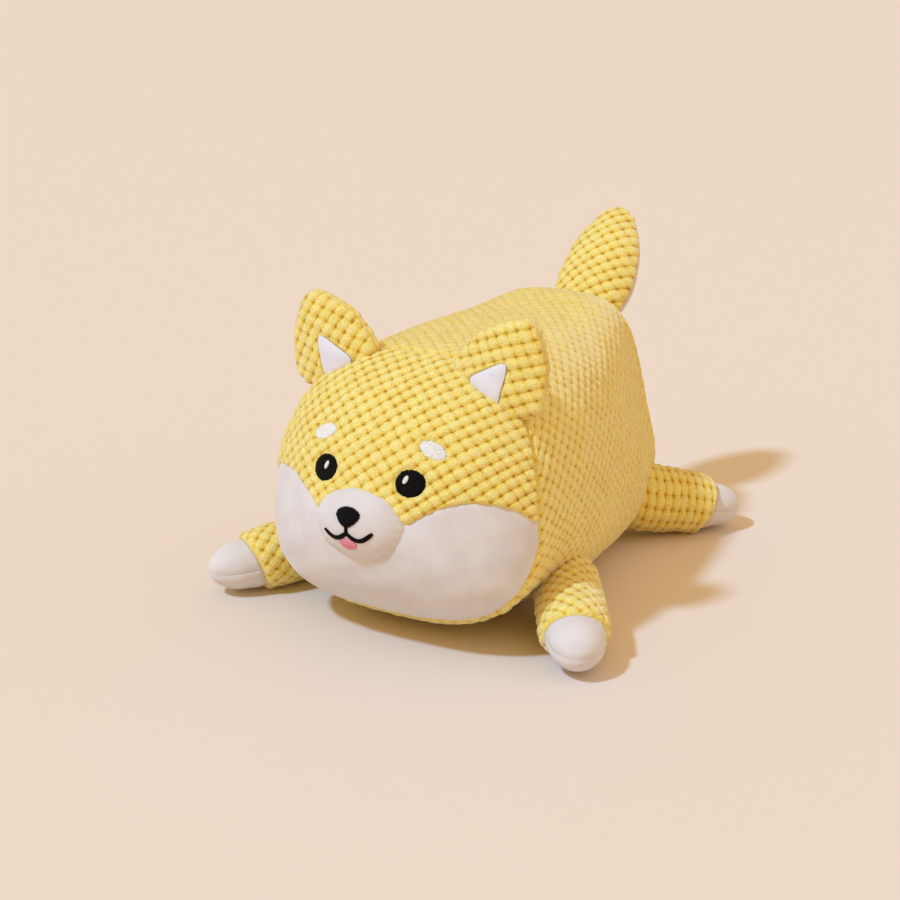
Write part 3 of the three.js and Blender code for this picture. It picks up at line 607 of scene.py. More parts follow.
def grid_normals(points, around):
    """Unit normals at the points of a grid, from the squares that meet there."""
    squares = np.cross(points[1:, 1:] - points[:-1, :-1], points[1:, :-1] - points[:-1, 1:])
    total = np.zeros_like(points)
    total[:-1, :-1] += squares
    total[1:, :-1] += squares
    total[:-1, 1:] += squares
    total[1:, 1:] += squares
    if around:
        total[:, 0] += total[:, -1]
        total[:, -1] = total[:, 0]
    return total / np.maximum(np.linalg.norm(total, axis=-1, keepdims=True), NO_LENGTH)


def evenness(points):
    """1 where the grid has its full spacing, and less where its lines crowd together."""
    spacing = [np.linalg.norm(np.gradient(points, axis=axis), axis=-1) for axis in (0, 1)]
    return np.clip(np.minimum(*spacing) / FINE, 0, 1)


print("the width of the body has", steps_for(BODY_WIDTH), "steps")

# %% [markdown]
# A second, coarser grid lies inside the first at the cloth's thickness, and the two are joined round the
# rim, so that every piece is a closed shell. The solidify modifier would make the lining as fine as the
# face. Nobody sees it, so here it has a quarter of the points each way, and fans of triangles join the two.

# %% Closed sheets
def grid_quads(index):
    corners = (index[:-1, :-1], index[:-1, 1:], index[1:, 1:], index[1:, :-1])
    return np.stack(corners, -1).reshape(-1, 4).tolist()


def rim_faces(outer, inner):
    """The fans that join a line of fine points to the coarser line behind it."""
    faces = []
    half = LINING_EVERY // 2
    for k in range(len(inner) - 1):
        for j in range(LINING_EVERY):
            near = inner[k] if j < half else inner[k + 1]
            at = k * LINING_EVERY + j
            faces.append([outer[at + 1], outer[at], near])
        faces.append([inner[k], inner[k + 1], outer[k * LINING_EVERY + half]])
    return faces


def sheet_mesh(outer, inner, around):
    """Points and faces of a closed sheet between a fine outer grid and a coarse inner one."""
    if around:
        outer, inner = outer[:, :-1], inner[:, :-1]
    front = np.arange(outer[..., 0].size).reshape(outer.shape[:2])
    back = np.arange(inner[..., 0].size).reshape(inner.shape[:2]) + front.size
    if around:
        front = np.hstack([front, front[:, :1]])
        back = np.hstack([back, back[:, :1]])
    faces = grid_quads(front) + [quad[::-1] for quad in grid_quads(back)]
    rims = [(front[0], back[0]), (front[-1, ::-1], back[-1, ::-1])]
    if not around:
        rims += [(front[:, -1], back[:, -1]), (front[::-1, 0], back[::-1, 0])]
    for line, behind in rims:
        faces += rim_faces(line.tolist(), behind.tolist())
    points = np.vstack([outer.reshape(-1, 3), inner.reshape(-1, 3)])
    return points, faces


print("each rim step has", len(rim_faces([0, 1, 2, 3, 4], [5, 6])), "faces")

# %% [markdown]
# Each sheet becomes an object that rides on one body of the model. A piece that is sewn to the trunk and
# moves with a limb is left where it is made instead, on no body.

# %% One object for each piece
def piece(name, points, faces, material, body, replaced=(), pile=None):
    """An object of the toy: its points in millimetres, what it rides on and what it stands for."""
    mesh = bpy.data.meshes.new(name)
    mesh.from_pydata((points * MM).tolist(), [], faces)
    mesh.polygons.foreach_set("use_smooth", [True] * len(mesh.polygons))
    mesh.materials.append(material)
    if pile is not None:
        values = np.zeros((len(points), 3), np.float32)
        values[:pile[..., 0].size] = pile.reshape(-1, 3)
        mesh.attributes.new("grooves", "FLOAT_VECTOR", "POINT").data.foreach_set("vector", values.ravel())
    mesh.validate()
    made = bpy.data.objects.new(name, mesh)
    bpy.context.scene.collection.objects.link(made)
    if isinstance(body, str):
        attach(made, body)
    else:
        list(body)
        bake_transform(made)
    if replaced:
        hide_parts(*replaced)
    print(name, len(faces), "faces")
    return made


# %% [markdown]
# The pile and the seams
#
# A seam draws the cloth in, and the pile lies flat beside it. Both follow from how far a point is from the
# sewn sides. Vertex groups painted by hand could mark the seams, but a distance along the grid is exact.

# %% Distance from the seams
def seam_distance(points, sides):
    """How far each point of a grid lies from the nearest of the named sides, along the cloth."""
    distance = np.full(points.shape[:2], np.inf)
    for axis, (first, last) in enumerate((("start", "end"), ("left", "right"))):
        lengths = np.linalg.norm(np.diff(points, axis=axis), axis=-1)
        run = np.zeros(points.shape[:2])
        if axis == 0:
            run[1:] = np.cumsum(lengths, 0)
            total = run[-1:]
        else:
            run[:, 1:] = np.cumsum(lengths, 1)
            total = run[:, -1:]
        if first in sides:
            distance = np.minimum(distance, run)
        if last in sides:
            distance = np.minimum(distance, total - run)
    return distance


SIDES = ("start", "end", "left", "right")
print("sides that can be sewn:", SIDES)

# %% [markdown]
# With that, one function makes any piece of cloth: it raises the pile, draws in the seams, keeps the toy on
# the floor and closes the sheet. A grid whose normals point into the toy is turned over first.

# %% A piece of padded cloth
CLOTH = 1.6
FLOOR_CLEAR = 0.15
SEAM_DEPTH = 0.8
SEAM_WIDTH = 1.5
PILE_START = 1.0


def cloth(name, base, inside, material, body, replaced, relief=0.0, flat=None, sides=(),
          around=False, thickness=CLOTH, seam=SEAM_DEPTH):
    """A padded piece of cloth over a grid of base points. flat is its (u, v) on the bobbled cloth."""
    if body == "root":
        base = settle(base)
    normals = grid_normals(base, around)
    if np.sum(normals * (base - inside)) < 0:
        flip = (slice(None), slice(None, None, -1))
        base = base[flip]
        relief = relief[flip] if np.ndim(relief) else relief
        flat = None if flat is None else tuple(part[flip] for part in flat)
        swap = {"left": "right", "right": "left"}
        sides = [swap.get(side, side) for side in sides]
        normals = grid_normals(base, around)
    distance = seam_distance(base, sides)
    height = relief - seam * np.exp(-(distance / SEAM_WIDTH)**2)
    pile = None
    if flat is not None:
        u, v, high = flat
        stand = high * (1 - np.exp(-(distance / PILE_START)**2))
        a, b = groove_counts(u, v)
        height = height + BOBBLE_HIGH * stand * bobbles(a, b)
        fuzz = FUZZ * loose_fibres.uniform(-1, 1, height.shape) * evenness(base)
        if around:
            fuzz[:, -1] = fuzz[:, 0]
        height = height + fuzz
        pile = np.stack([a, b, np.minimum(stand / FULL_PILE, 1)], -1)
    outer = base + normals * height[..., None]
    outer[..., 2] = np.maximum(outer[..., 2], FLOOR_CLEAR)
    inner = (base - normals * thickness)[::LINING_EVERY, ::LINING_EVERY]
    inner[..., 2] = np.maximum(inner[..., 2], FLOOR_CLEAR + thickness)
    points, faces = sheet_mesh(outer, inner, around)
    if pile is not None and around:
        pile = pile[:, :-1]
    made = piece(name, points, faces, material, body, replaced, pile)


print("cloth of", CLOTH, "mm, sewn", SEAM_DEPTH, "mm deep")

# %% [markdown]
# Back and belly
#
# One wide piece of fleece covers the back and both sides, and a narrower one closes the belly. The rows of
# bobbles follow the cloth, so a point's place on the flat cloth is its distance round the body from the
# middle line and its distance along the back. The cloth is pulled tight over the back, which flattens its
# bobbles there.

# %% Back and belly panels
FLANK_PILE_SHARE = 0.85
REAR_PILE_SHARE = 0.45
PULLED_FLAT = 0.35
PULLED_WIDE = 45.0
GIRTH_PLACE = 0.35
GIRTH_POINTS = 1600


def angles_by_length(start, stop, count, place):
    """Angles from start to stop whose points lie at equal distances round one section."""
    fine = np.linspace(start, stop, GIRTH_POINTS)
    ring = side_point(fine, np.full_like(fine, place))
    run = np.concatenate([[0], np.cumsum(np.linalg.norm(np.diff(ring, axis=0), axis=1))])
    return np.interp(np.linspace(0, run[-1], count + 1), run, fine), run[-1]


def wrap_panel(name, start, stop, middle, replaced):
    _, girth = angles_by_length(start, stop, LINING_EVERY, GIRTH_PLACE)
    angles, _ = angles_by_length(start, stop, steps_for(girth), GIRTH_PLACE)
    angle, share = np.meshgrid(angles, np.linspace(0, 1, steps_for(BODY_LENGTH) + 1))
    start_place = wrap(angle) / PLACE_LENGTH
    place = start_place + (1 - start_place) * share
    base = side_point(angle, place)
    base[..., 2] = np.maximum(base[..., 2], 0)
    run = np.zeros(base.shape[:2])
    run[:, 1:] = np.cumsum(np.hypot(np.diff(base[..., 0], axis=1), np.diff(base[..., 2], axis=1)), 1)
    centre = np.argmin(np.abs(angles - middle))
    v = run - run[:, centre:centre + 1]
    u = base[..., 1] - SHIFT_Y
    pulled = PULLED_FLAT * np.exp(-(v / PULLED_WIDE)**2)
    high = (FLANK_PILE_SHARE + (REAR_PILE_SHARE - FLANK_PILE_SHARE) * place) * (1 - pulled)
    cloth(name, base, BODY_MIDDLE, yellow_fleece, "root", replaced,
          flat=(u, v, high), sides=SIDES)


wrap_panel("back_fleece", SIDE_SEAM, math.pi - SIDE_SEAM, math.pi / 2, ["back_panel"])
wrap_panel("belly_fleece", math.pi - SIDE_SEAM, 2 * math.pi + SIDE_SEAM, 1.5 * math.pi, ["belly_panel"])

# %% [markdown]
# Discs without a pole
#
# Rump, muzzle, ears and patches are round pieces. A grid of rings would crowd its points at the middle, so
# a square grid is squeezed on to the disc: squares about the middle become rings, and every face keeps a
# similar size.

# %% Square grid on a disc
def disc(count):
    """Angle and share of the radius at each point of a square grid that fills a disc."""
    line = np.linspace(-1, 1, count + 1)
    a, b = np.meshgrid(line, line)
    x = a * np.sqrt(1 - b**2 / 2)
    y = b * np.sqrt(1 - a**2 / 2)
    return np.arctan2(y, x), np.minimum(np.hypot(x, y), 1)


print("a disc of 4 steps has", disc(4)[0].size, "points")

# %% [markdown]
# The rows of bobbles are spaced on the flat cloth, so a point on a dome needs its distance from the pole
# along the cloth. It is the length of the dome's curve, added up in short steps.

# %% Cloth over a dome
DOME_STEPS = 24
STEEPEST = 0.02
NO_RADIUS = 1e-6


def dome_reach(radius, share, depth, roundness):
    """The length of cloth from a dome's pole to a share of its radius."""
    reach = np.zeros_like(share)
    for k in range(DOME_STEPS):
        at = share * (k + 0.5) / DOME_STEPS
        slope = 2 * roundness * depth * at * np.maximum(1 - at**2, STEEPEST)**(roundness - 1)
        reach += np.hypot(radius, slope) * share / DOME_STEPS
    return reach


rump_cloth = dome_reach(BODY_WIDTH / 2, np.ones(1), RUMP_BULGE, RUMP_ROUND_SHARE)[0]
print("cloth from the middle of the rump to its side:", round(rump_cloth, 1), "mm")

# %% [markdown]
# The rump is a low dome that closes the rear end under the tail. Its bobbles are flatter than those of the
# flanks, because the cloth is pulled tight there, and its seam lies in the plane of the last section.

# %% Rump
RUMP_HEIGHT = 86.0

rump_angle, rump_share = disc(steps_for(RUMP_HEIGHT))
rump_base = rump_point(rump_angle, rump_share)
rump_flat = rump_base - rump_point(np.zeros(1), np.zeros(1))
rump_radius = np.hypot(rump_flat[..., 0], rump_flat[..., 2])
rump_rim = rump_radius / np.maximum(rump_share, NO_RADIUS)
rump_reach = dome_reach(rump_rim, rump_share, RUMP_BULGE, RUMP_ROUND_SHARE)
rump_scale = rump_reach / np.maximum(rump_radius, NO_RADIUS)
rump_pile = np.full_like(rump_share, REAR_PILE_SHARE)
cloth("rump_fleece", rump_base, BODY_MIDDLE, yellow_fleece, "root", ["rump_panel"],
      flat=(rump_flat[..., 2] * rump_scale, rump_flat[..., 0] * rump_scale, rump_pile), sides=SIDES)

# %% [markdown]
# The face
#
# The face is a dome on the leaning plane of its seam, so a place on it is written as x across and q up that
# plane. The muzzle is a second, small dome on the first. Both could be metaballs, but the seams and
# stitches have to follow them, and a height over the plane can be asked for anywhere.

# %% Face plane
FACE_RING = section_at(np.array(0.0))
FACE_HALF = float(FACE_RING["half_width"])
FACE_UP = float(FACE_RING["up"])
FACE_DOWN = float(FACE_RING["down"])
FACE_ABOVE = float(FACE_RING["above"])
FACE_BELOW = float(FACE_RING["below"])
FACE_PINCH = float(FACE_RING["pinch"])
MUZZLE_HALF_WIDTH = 17.5
MUZZLE_HALF_HEIGHT = 12.0
MUZZLE_Q = -1.5
MUZZLE_BULGE = 6.5
MUZZLE_ROUND_SHARE = 0.6


def gauge(x, q):
    """How far out a point is on the face's plane: 0 in the middle and 1 on the face seam."""
    height = np.where(q >= 0, FACE_UP, FACE_DOWN)
    power = np.where(q >= 0, FACE_ABOVE, FACE_BELOW)
    wide = x / (1 - FACE_PINCH * np.maximum(q / height, 0))
    return (np.abs(wide / FACE_HALF)**power + np.abs(q / height)**power)**(1 / power)


def face_share(x, q):
    return np.minimum(gauge(x, q), 1)


def face_height(x, q):
    return bulge(face_share(x, q), FACE_BULGE, FACE_ROUND_SHARE)


def muzzle_height(x, q):
    share = np.hypot(x / MUZZLE_HALF_WIDTH, (q - MUZZLE_Q) / MUZZLE_HALF_HEIGHT)
    return face_height(x, q) + bulge(np.minimum(share, 1), MUZZLE_BULGE, MUZZLE_ROUND_SHARE)


def on_face(x, q, height):
    """The point at x across, q up and that height in front of the face's plane."""
    return (
        FACE_RING["centre"]
        + x[..., None] * ACROSS
        + q[..., None] * FACE_RING["rise"]
        + height[..., None] * FACE_RING["forward"]
    )


print("the muzzle stands", round(float(muzzle_height(0.0, MUZZLE_Q)), 1), "mm before the face seam")

# %% [markdown]
# The fleece covers the forehead, and the white cheeks fill the rest. Their common seam rises over each
# cheek in a lobe, half a wave of a sine, and drops a little at the side. The flat cloth of the face is laid
# out from its middle, where the two rows of bobbles cross upright.

# %% Seams of the face
LOBE_INNER_X = 17.5
LOBE_INNER_Q = 0.5
LOBE_PEAK_X = 39.0
LOBE_PEAK_Q = 11.0
LOBE_OUTER_DROP = 5.0
LOBE_POWER = 4


def lobe_q(x):
    """The upper edge of the white cheeks."""
    x = np.abs(x)
    inner = (np.clip(x, LOBE_INNER_X, LOBE_PEAK_X) - LOBE_INNER_X) / (LOBE_PEAK_X - LOBE_INNER_X)
    outer = np.clip((x - LOBE_PEAK_X) / (FACE_HALF - LOBE_PEAK_X), 0, 1)
    drop = LOBE_OUTER_DROP * outer**LOBE_POWER
    return LOBE_INNER_Q + (LOBE_PEAK_Q - LOBE_INNER_Q) * np.sin(inner * math.pi / 2) - drop


def ring_xq(angle):
    """The face seam in the face's plane."""
    flat = section_point(FACE_RING, angle, 1.0, np.zeros_like(angle)) - FACE_RING["centre"]
    return flat @ ACROSS, flat @ FACE_RING["rise"]


def face_flat(x, q):
    """Where a point of the face lies on the flat cloth: its distance from the pole, in its own direction."""
    radius = np.maximum(np.hypot(x, q), NO_RADIUS)
    share = face_share(x, q)
    rim = radius / np.maximum(gauge(x, q), NO_RADIUS)
    reach = dome_reach(rim, share, FACE_BULGE, FACE_ROUND_SHARE) + np.maximum(radius - rim, 0)
    return x * reach / radius, q * reach / radius


print("the cheeks peak", round(float(lobe_q(LOBE_PEAK_X)), 1), "mm above the middle of the face")

# %% [markdown]
# Eyes and brows are stitched through the fleece, which presses its pile flat. So the pile stands by a share
# that falls to nothing inside each of these ellipses.

# %% Pile under the stitches
EYE_X = 16.5
EYE_Q = 14.3
EYE_HALF_WIDTH = 5.1
EYE_HALF_HEIGHT = 4.6
BROW_X = 21.0
BROW_Q = 26.0
BROW_HALF_WIDTH = 4.9
BROW_HALF_HEIGHT = 2.6
BROW_TILT = math.radians(-20)
PRESSED_TO = 0.9
RISES_OVER = 0.35


def in_ellipse(x, q, half_width, half_height, tilt=0.0):
    """How far out a point is in a tilted ellipse: under 1 inside it."""
    across = (x * math.cos(tilt) + q * math.sin(tilt)) / half_width
    up = (q * math.cos(tilt) - x * math.sin(tilt)) / half_height
    return np.hypot(across, up)


def pressed(x, q):
    """The share of the pile that stands, 0 under the stitches and 1 away from them."""
    stand = np.ones_like(x)
    for side in (1, -1):
        eye = in_ellipse(x - side * EYE_X, q - EYE_Q, EYE_HALF_WIDTH, EYE_HALF_HEIGHT)
        brow = in_ellipse(x - side * BROW_X, q - BROW_Q, BROW_HALF_WIDTH, BROW_HALF_HEIGHT, side * BROW_TILT)
        for out in (eye, brow):
            stand = np.minimum(stand, np.clip((out - PRESSED_TO) / RISES_OVER, 0, 1))
    return stand


print("pile in the middle of an eye:", pressed(np.array([EYE_X]), np.array([EYE_Q]))[0])

# %% [markdown]
# Forehead and cheeks are drawn as columns from the seam between them to the seam round the face. A patch
# cut from one grid would have a ragged edge along a curved seam; columns end on it exactly. Their points
# are spread evenly along both lines.

# %% Columns between two seams
LINE_POINTS = 2000


def corner_angle(lap):
    """The angle at which the cheek seam, raised by a lap, meets the seam round the face."""
    angles = np.linspace(0, math.pi / 4, LINE_POINTS)
    x, q = ring_xq(angles)
    return float(np.interp(0, q - lobe_q(x) - lap, angles))


def even_steps(values, x, q, count):
    """The values at equal distances along a line through x and q."""
    run = np.concatenate([[0], np.cumsum(np.hypot(np.diff(x), np.diff(q)))])
    return np.interp(np.linspace(0, run[-1], count + 1), run, values)


def columns(start, stop, columns_count, rows_count, lap=0.0):
    """A grid between the cheek seam and the seam round the face, and its x and q.

    Its last rows lie on the side of the body, where the cheeks reach back past the face's plane. lap is how
    far it reaches over the cloth above the cheek seam.
    """
    fine = np.linspace(start, stop, LINE_POINTS)
    angles = even_steps(fine, *ring_xq(fine), columns_count)
    ring_x, ring_q = ring_xq(angles)
    fine = np.sin(np.linspace(math.pi / 2, -math.pi / 2, LINE_POINTS)) * ring_x[0]
    seam_x = even_steps(fine, fine, lobe_q(fine), columns_count)
    seam_q = lobe_q(seam_x) + lap
    share = np.sin(np.linspace(0, math.pi / 2, rows_count + 1))[:, None]
    x = seam_x + (ring_x - seam_x) * share
    q = seam_q + (ring_q - seam_q) * share
    front = on_face(x, q, face_height(x, q))
    behind = np.linspace(0, 1, WRAP_STEPS + 1)[1:, None] * wrap(angles)
    side = side_point(np.broadcast_to(angles, behind.shape), behind / PLACE_LENGTH)
    outwards = 1 + behind / np.hypot(ring_x, ring_q)
    return np.vstack([front, side]), np.vstack([x, ring_x * outwards]), np.vstack([q, ring_q * outwards])


seam_corner = corner_angle(0.0)
print("the two seams meet", round(math.degrees(seam_corner), 1), "degrees above the middle of the face")

# %% [markdown]
# The forehead is one piece of fleece from ear to ear. Its bobbles are set slightly closer side by side than
# on the back, and they are at their full height, as the cloth isn't pulled here.

# %% Forehead
FACE_GIRTH = 150.0
FACE_TALL = 62.0
FACE_CLOSER = 1.03
FOREHEAD_SEAM = 0.25

base, x, q = columns(seam_corner, math.pi - seam_corner, steps_for(FACE_GIRTH), steps_for(FACE_TALL))
u, v = face_flat(x, q)
cloth("forehead_fleece", base, BODY_MIDDLE, yellow_fleece, "root", ["face_panel"],
      flat=(u * FACE_CLOSER, v, pressed(x, q)), sides=SIDES, seam=FOREHEAD_SEAM)

# %% [markdown]
# The cheeks lap over the edge of the forehead and stand a little proud, as the thicker seam allowance of
# the fleece lies under them. Shallow dimples, a slow wave, show where the fibre fill has bunched.

# %% Cheeks
CHEEK_LAP = 0.5
CHEEK_OVER = 0.25
CHEEK_FINE = 0.9
CHEEK_TALL = 45.0
CHEEK_SEAM = 0.35
DIMPLE_DEPTH = 0.18
DIMPLE_CLOSE = 2.2
DIMPLE_PHASE = 1.3

cheek_corner = corner_angle(CHEEK_LAP)
base, x, q = columns(cheek_corner, -math.pi - cheek_corner, steps_for(FACE_GIRTH, CHEEK_FINE),
                     steps_for(CHEEK_TALL, CHEEK_FINE), CHEEK_LAP)
dimples = DIMPLE_DEPTH * sway(DIMPLE_CLOSE * x, DIMPLE_CLOSE * q, DIMPLE_PHASE)
cloth("cheek_velboa", base, BODY_MIDDLE, white_velboa, "root", ["cheek_panel"],
      relief=dimples + CHEEK_OVER, sides=SIDES, seam=CHEEK_SEAM)

# %% [markdown]
# The muzzle
#
# A small dome of velboa, gathered round its edge, so that short folds run in from the seam. A cloth
# simulation would pucker it too, but the puckers here are only a third of a millimetre deep. So they are
# waves round the rim that fade towards the middle, deeper below, where the cloth is slack, with an uneven
# second wave on them.

# %% Muzzle
MUZZLE_FINE = 0.5
MUZZLE_ROOT = 1.5
ROOT_POWER = 12
GATHER_COUNT = 23
GATHER_DEPTH = 0.35
GATHER_POWER = 5
UNEVEN_COUNT = 7.3
UNEVEN_PHASE = 1
SLACK_MEAN = 0.6
SLACK_BELOW = 0.4

angle, share = disc(steps_for(2 * MUZZLE_HALF_WIDTH, MUZZLE_FINE))
x = MUZZLE_HALF_WIDTH * share * np.cos(angle)
q = MUZZLE_HALF_HEIGHT * share * np.sin(angle) + MUZZLE_Q
slack = SLACK_MEAN - SLACK_BELOW * np.sin(angle)
waves = (np.sin(GATHER_COUNT * angle) + np.sin(UNEVEN_COUNT * angle + UNEVEN_PHASE)) / 2
gathers = GATHER_DEPTH * slack * share**GATHER_POWER * waves
height = muzzle_height(x, q) - MUZZLE_ROOT * share**ROOT_POWER
cloth("muzzle_velboa", on_face(x, q, height), BODY_MIDDLE, white_velboa, "root",
      ["muzzle_panel"], relief=gathers, seam=0.0)

# %% [markdown]
# Embroidery
#
# Eyes, brows, nose, mouth and tongue are satin stitch: rows of thread laid side by side over a pad, so each
# is a low cushion with a slightly ragged edge where the needle went in. A patch is a disc grid whose
# outline is given by a radius for each angle, laid over the face or the muzzle.

# %% Satin stitch patches
THREAD_PAD = 0.75
THREAD_CROWN = 0.45
CROWN_POWER = 4
THREAD_CLEAR = 0.35
RAGGED = 0.05
RAGGED_POWER = 6
PATCH_STEPS = 32

needle_holes = np.random.default_rng(11)


def patch(name, outline, x0, q0, surface, lift, material, replaced, count=PATCH_STEPS):
    """A pad of stitches. outline gives (x, q) from the patch's middle for an angle and a share."""
    angle, share = disc(count)
    edge = needle_holes.uniform(-1, 1, angle.shape) * RAGGED * share**RAGGED_POWER
    x, q = outline(angle, share * (1 + edge))
    x = x + x0
    q = q + q0
    height = surface(x, q) + lift + THREAD_CROWN * (1 - share**CROWN_POWER)
    cloth(name, on_face(x, q, height), BODY_MIDDLE, material, "root", replaced,
          thickness=THREAD_PAD, seam=0.0)


def oval(half_width, half_height, tilt=0.0):
    """An outline function for a tilted ellipse."""
    def outline(angle, share):
        x = half_width * share * np.cos(angle)
        q = half_height * share * np.sin(angle)
        return x * math.cos(tilt) - q * math.sin(tilt), x * math.sin(tilt) + q * math.cos(tilt)
    return outline


print("a patch has", disc(PATCH_STEPS)[0].size, "points on its face")

# %% [markdown]
# Each eye is a black oval with a small white glint, and each brow a white oval that slants down to the
# outside. One glint sits further in than the other. Glass eyes would be spheres with a clear coat, but
# these are stitched, so that a dog can't bite them off.

# %% Eyes and brows
GLINT_X = {"left": -1.5, "right": 0.6}
GLINT_Q = 1.0
GLINT_HALF_WIDTH = 0.8
GLINT_HALF_HEIGHT = 1.5
GLINT_TILT = math.radians(-18)
GLINT_LIFT = 0.9
GLINT_STEPS = 12
BOTH_SIDES = {"left": 1, "right": -1}

for side_name, side in BOTH_SIDES.items():
    patch(f"{side_name}_eye_stitches", oval(EYE_HALF_WIDTH, EYE_HALF_HEIGHT), side * EYE_X, EYE_Q,
          face_height, THREAD_CLEAR, black_thread, [f"{side_name}_eye"])
    patch(f"{side_name}_glint_stitches", oval(GLINT_HALF_WIDTH, GLINT_HALF_HEIGHT, GLINT_TILT),
          side * EYE_X + GLINT_X[side_name], EYE_Q + GLINT_Q, face_height, GLINT_LIFT,
          white_thread, [f"{side_name}_eye_glint"], count=GLINT_STEPS)
    patch(f"{side_name}_brow_stitches", oval(BROW_HALF_WIDTH, BROW_HALF_HEIGHT, side * BROW_TILT),
          side * BROW_X, BROW_Q, face_height, THREAD_CLEAR, white_thread,
          [f"{side_name}_brow"])

# %% [markdown]
# The nose is a rounded triangle with its point down, and the tongue a half round under the mouth. Each
# outline is an ellipse that one short term narrows or flattens.

# %% Nose and tongue
NOSE_Q = 0.4
NOSE_HALF_WIDTH = 4.5
NOSE_HEIGHT = 7.0
NOSE_NARROW = 0.32
NOSE_LIFT = 0.12
TONGUE_HALF_WIDTH = 3.4
TONGUE_TOP_Q = -6.4
TONGUE_LENGTH = 4.2
TONGUE_FLAT = 0.8
TONGUE_CLEAR = 0.1
TONGUE_STEPS = 24


def nose_outline(angle, share):
    up = np.sin(angle)
    width = NOSE_HALF_WIDTH * (1 - NOSE_NARROW * np.maximum(-up, 0))
    return width * share * np.cos(angle), NOSE_HEIGHT / 2 * share * (up + NOSE_LIFT * np.cos(angle)**2)


def tongue_outline(angle, share):
    up = np.sin(angle)
    height = TONGUE_LENGTH / 2 * share * np.where(up > 0, TONGUE_FLAT * up, up)
    return TONGUE_HALF_WIDTH * share * np.cos(angle), height


patch("nose_stitches", nose_outline, 0.0, NOSE_Q, muzzle_height, THREAD_CLEAR,
      black_thread, ["nose"])
patch("tongue_stitches", tongue_outline, 0.0, TONGUE_TOP_Q - TONGUE_LENGTH / 2, muzzle_height, TONGUE_CLEAR,
      pink_thread, ["tongue"], count=TONGUE_STEPS)

# %% [markdown]
# The mouth is a line of satin stitch, so its threads lie across it. A bevelled curve would be as round as a
# wire and wouldn't lie on the muzzle. So it is a narrow strip that follows two dips, with small ridges
# along it, and a second short strip runs up to the nose.

# %% A strip of stitches
MOUTH_HIGH = 0.75
STITCH_RIDGE = 0.07
END_TAPER = 0.85
TAPER_POWER = 14
EDGE_DROP = 0.9


def stroke(x, q, width):
    """A closed strip of stitches along a line on the muzzle, as points and faces."""
    path = np.stack([x, q], -1)
    ahead = np.gradient(path, axis=0)
    ahead /= np.linalg.norm(ahead, axis=1, keepdims=True)
    aside = np.stack([-ahead[:, 1], ahead[:, 0]], -1)
    along = np.linspace(-1, 1, len(x))
    taper = np.sqrt(1 - END_TAPER * np.abs(along)**TAPER_POWER)
    across = np.linspace(-1, 1, 2 * LINING_EVERY + 1)
    place = path[:, None] + aside[:, None] * (taper[:, None] * across * width / 2)[..., None]
    run = np.cumsum(np.linalg.norm(np.gradient(path, axis=0), axis=1))
    ridges = STITCH_RIDGE * np.sin(2 * math.pi * run / THREAD_ROW)[:, None]
    crown = (MOUTH_HIGH + ridges) * np.sqrt(1 - EDGE_DROP * across**2)
    surface = muzzle_height(place[..., 0], place[..., 1])
    outer = on_face(place[..., 0], place[..., 1], surface + crown)
    inner = on_face(place[..., 0], place[..., 1], surface - THREAD_PAD)[::LINING_EVERY, ::LINING_EVERY]
    return sheet_mesh(settle(outer[:, ::-1]), settle(inner[:, ::-1]), False)


print("a stitch ridge every", THREAD_ROW, "mm")

# %% [markdown]
# The line dips once on each side of the stem and ends a little higher on the toy's left, as if the dog
# smiled with one side of its mouth. Both strips are one piece, as one thread runs through them.

# %% Mouth
MOUTH_HALF = 9.3
MOUTH_Q = -5.0
MOUTH_DIP = 2.2
MOUTH_RISE = 1.5
MOUTH_STROKE = 1.45
MOUTH_STEPS = 40 * LINING_EVERY
STEM_STROKE = 0.9 * MOUTH_STROKE
STEM_INTO_NOSE = 0.5
STEM_BELOW_LINE = 0.2
STEM_STEPS = 3 * LINING_EVERY

line_x = np.linspace(-MOUTH_HALF, MOUTH_HALF, MOUTH_STEPS + 1)
smirk = MOUTH_RISE * np.maximum(line_x / MOUTH_HALF, 0)**2
line_q = MOUTH_Q - MOUTH_DIP * np.abs(np.sin(math.pi * line_x / MOUTH_HALF)) + smirk
stem_top = NOSE_Q - NOSE_HEIGHT / 2 + STEM_INTO_NOSE
stem_q = np.linspace(stem_top, MOUTH_Q - STEM_BELOW_LINE, STEM_STEPS + 1)
line_points, line_faces = stroke(line_x, line_q, MOUTH_STROKE)
stem_points, stem_faces = stroke(np.zeros_like(stem_q), stem_q, STEM_STROKE)
stem_faces = [[at + len(line_points) for at in face] for face in stem_faces]
piece("mouth_stitches", np.vstack([line_points, stem_points]), line_faces + stem_faces, black_thread, "root",
      ["mouth"])

# %% [markdown]
# Ears and tail
#
# An ear is two leaves of cloth sewn round their outline and lightly filled. The tail is the same with more
# filling, and its rear leaf is white. The grid of a leaf is a disc, scaled to an outline that is pointed
# above. Pulling a flat grid through an outline this way keeps its points even, where a filled curve would
# give long, thin faces that can't carry bobbles.

# %% Sizes of the leaves
EAR_INSET = 20.0
EAR_Y = 12.0
EAR_BELOW_TOP = 7.0
EAR_ROLL = math.radians(22)
EAR_LEAN = math.radians(3)
TAIL_BEHIND = 7.0
TAIL_BELOW_TOP = 16.0
TAIL_LEAN = math.radians(41)
EAR = {
    "half_width": 17.5,
    "height": 25.5,
    "root": 12.0,
    "middle": 0.0,
    "thick": 4.5,
    "power": 1.5,
    "tip": 1.5,
}
TAIL = {
    "half_width": 15.8,
    "height": 34.0,
    "root": 24.0,
    "middle": 15.0,
    "thick": 10.0,
    "power": 1.8,
    "tip": 0.0,
}
LEAF_SINK = 0.3
LEAF_EDGE = 0.25
LEAF_ROUND_SHARE = 0.5
LEAF_SEAM = 0.3
LEAF_PILE_SHARE = 0.85

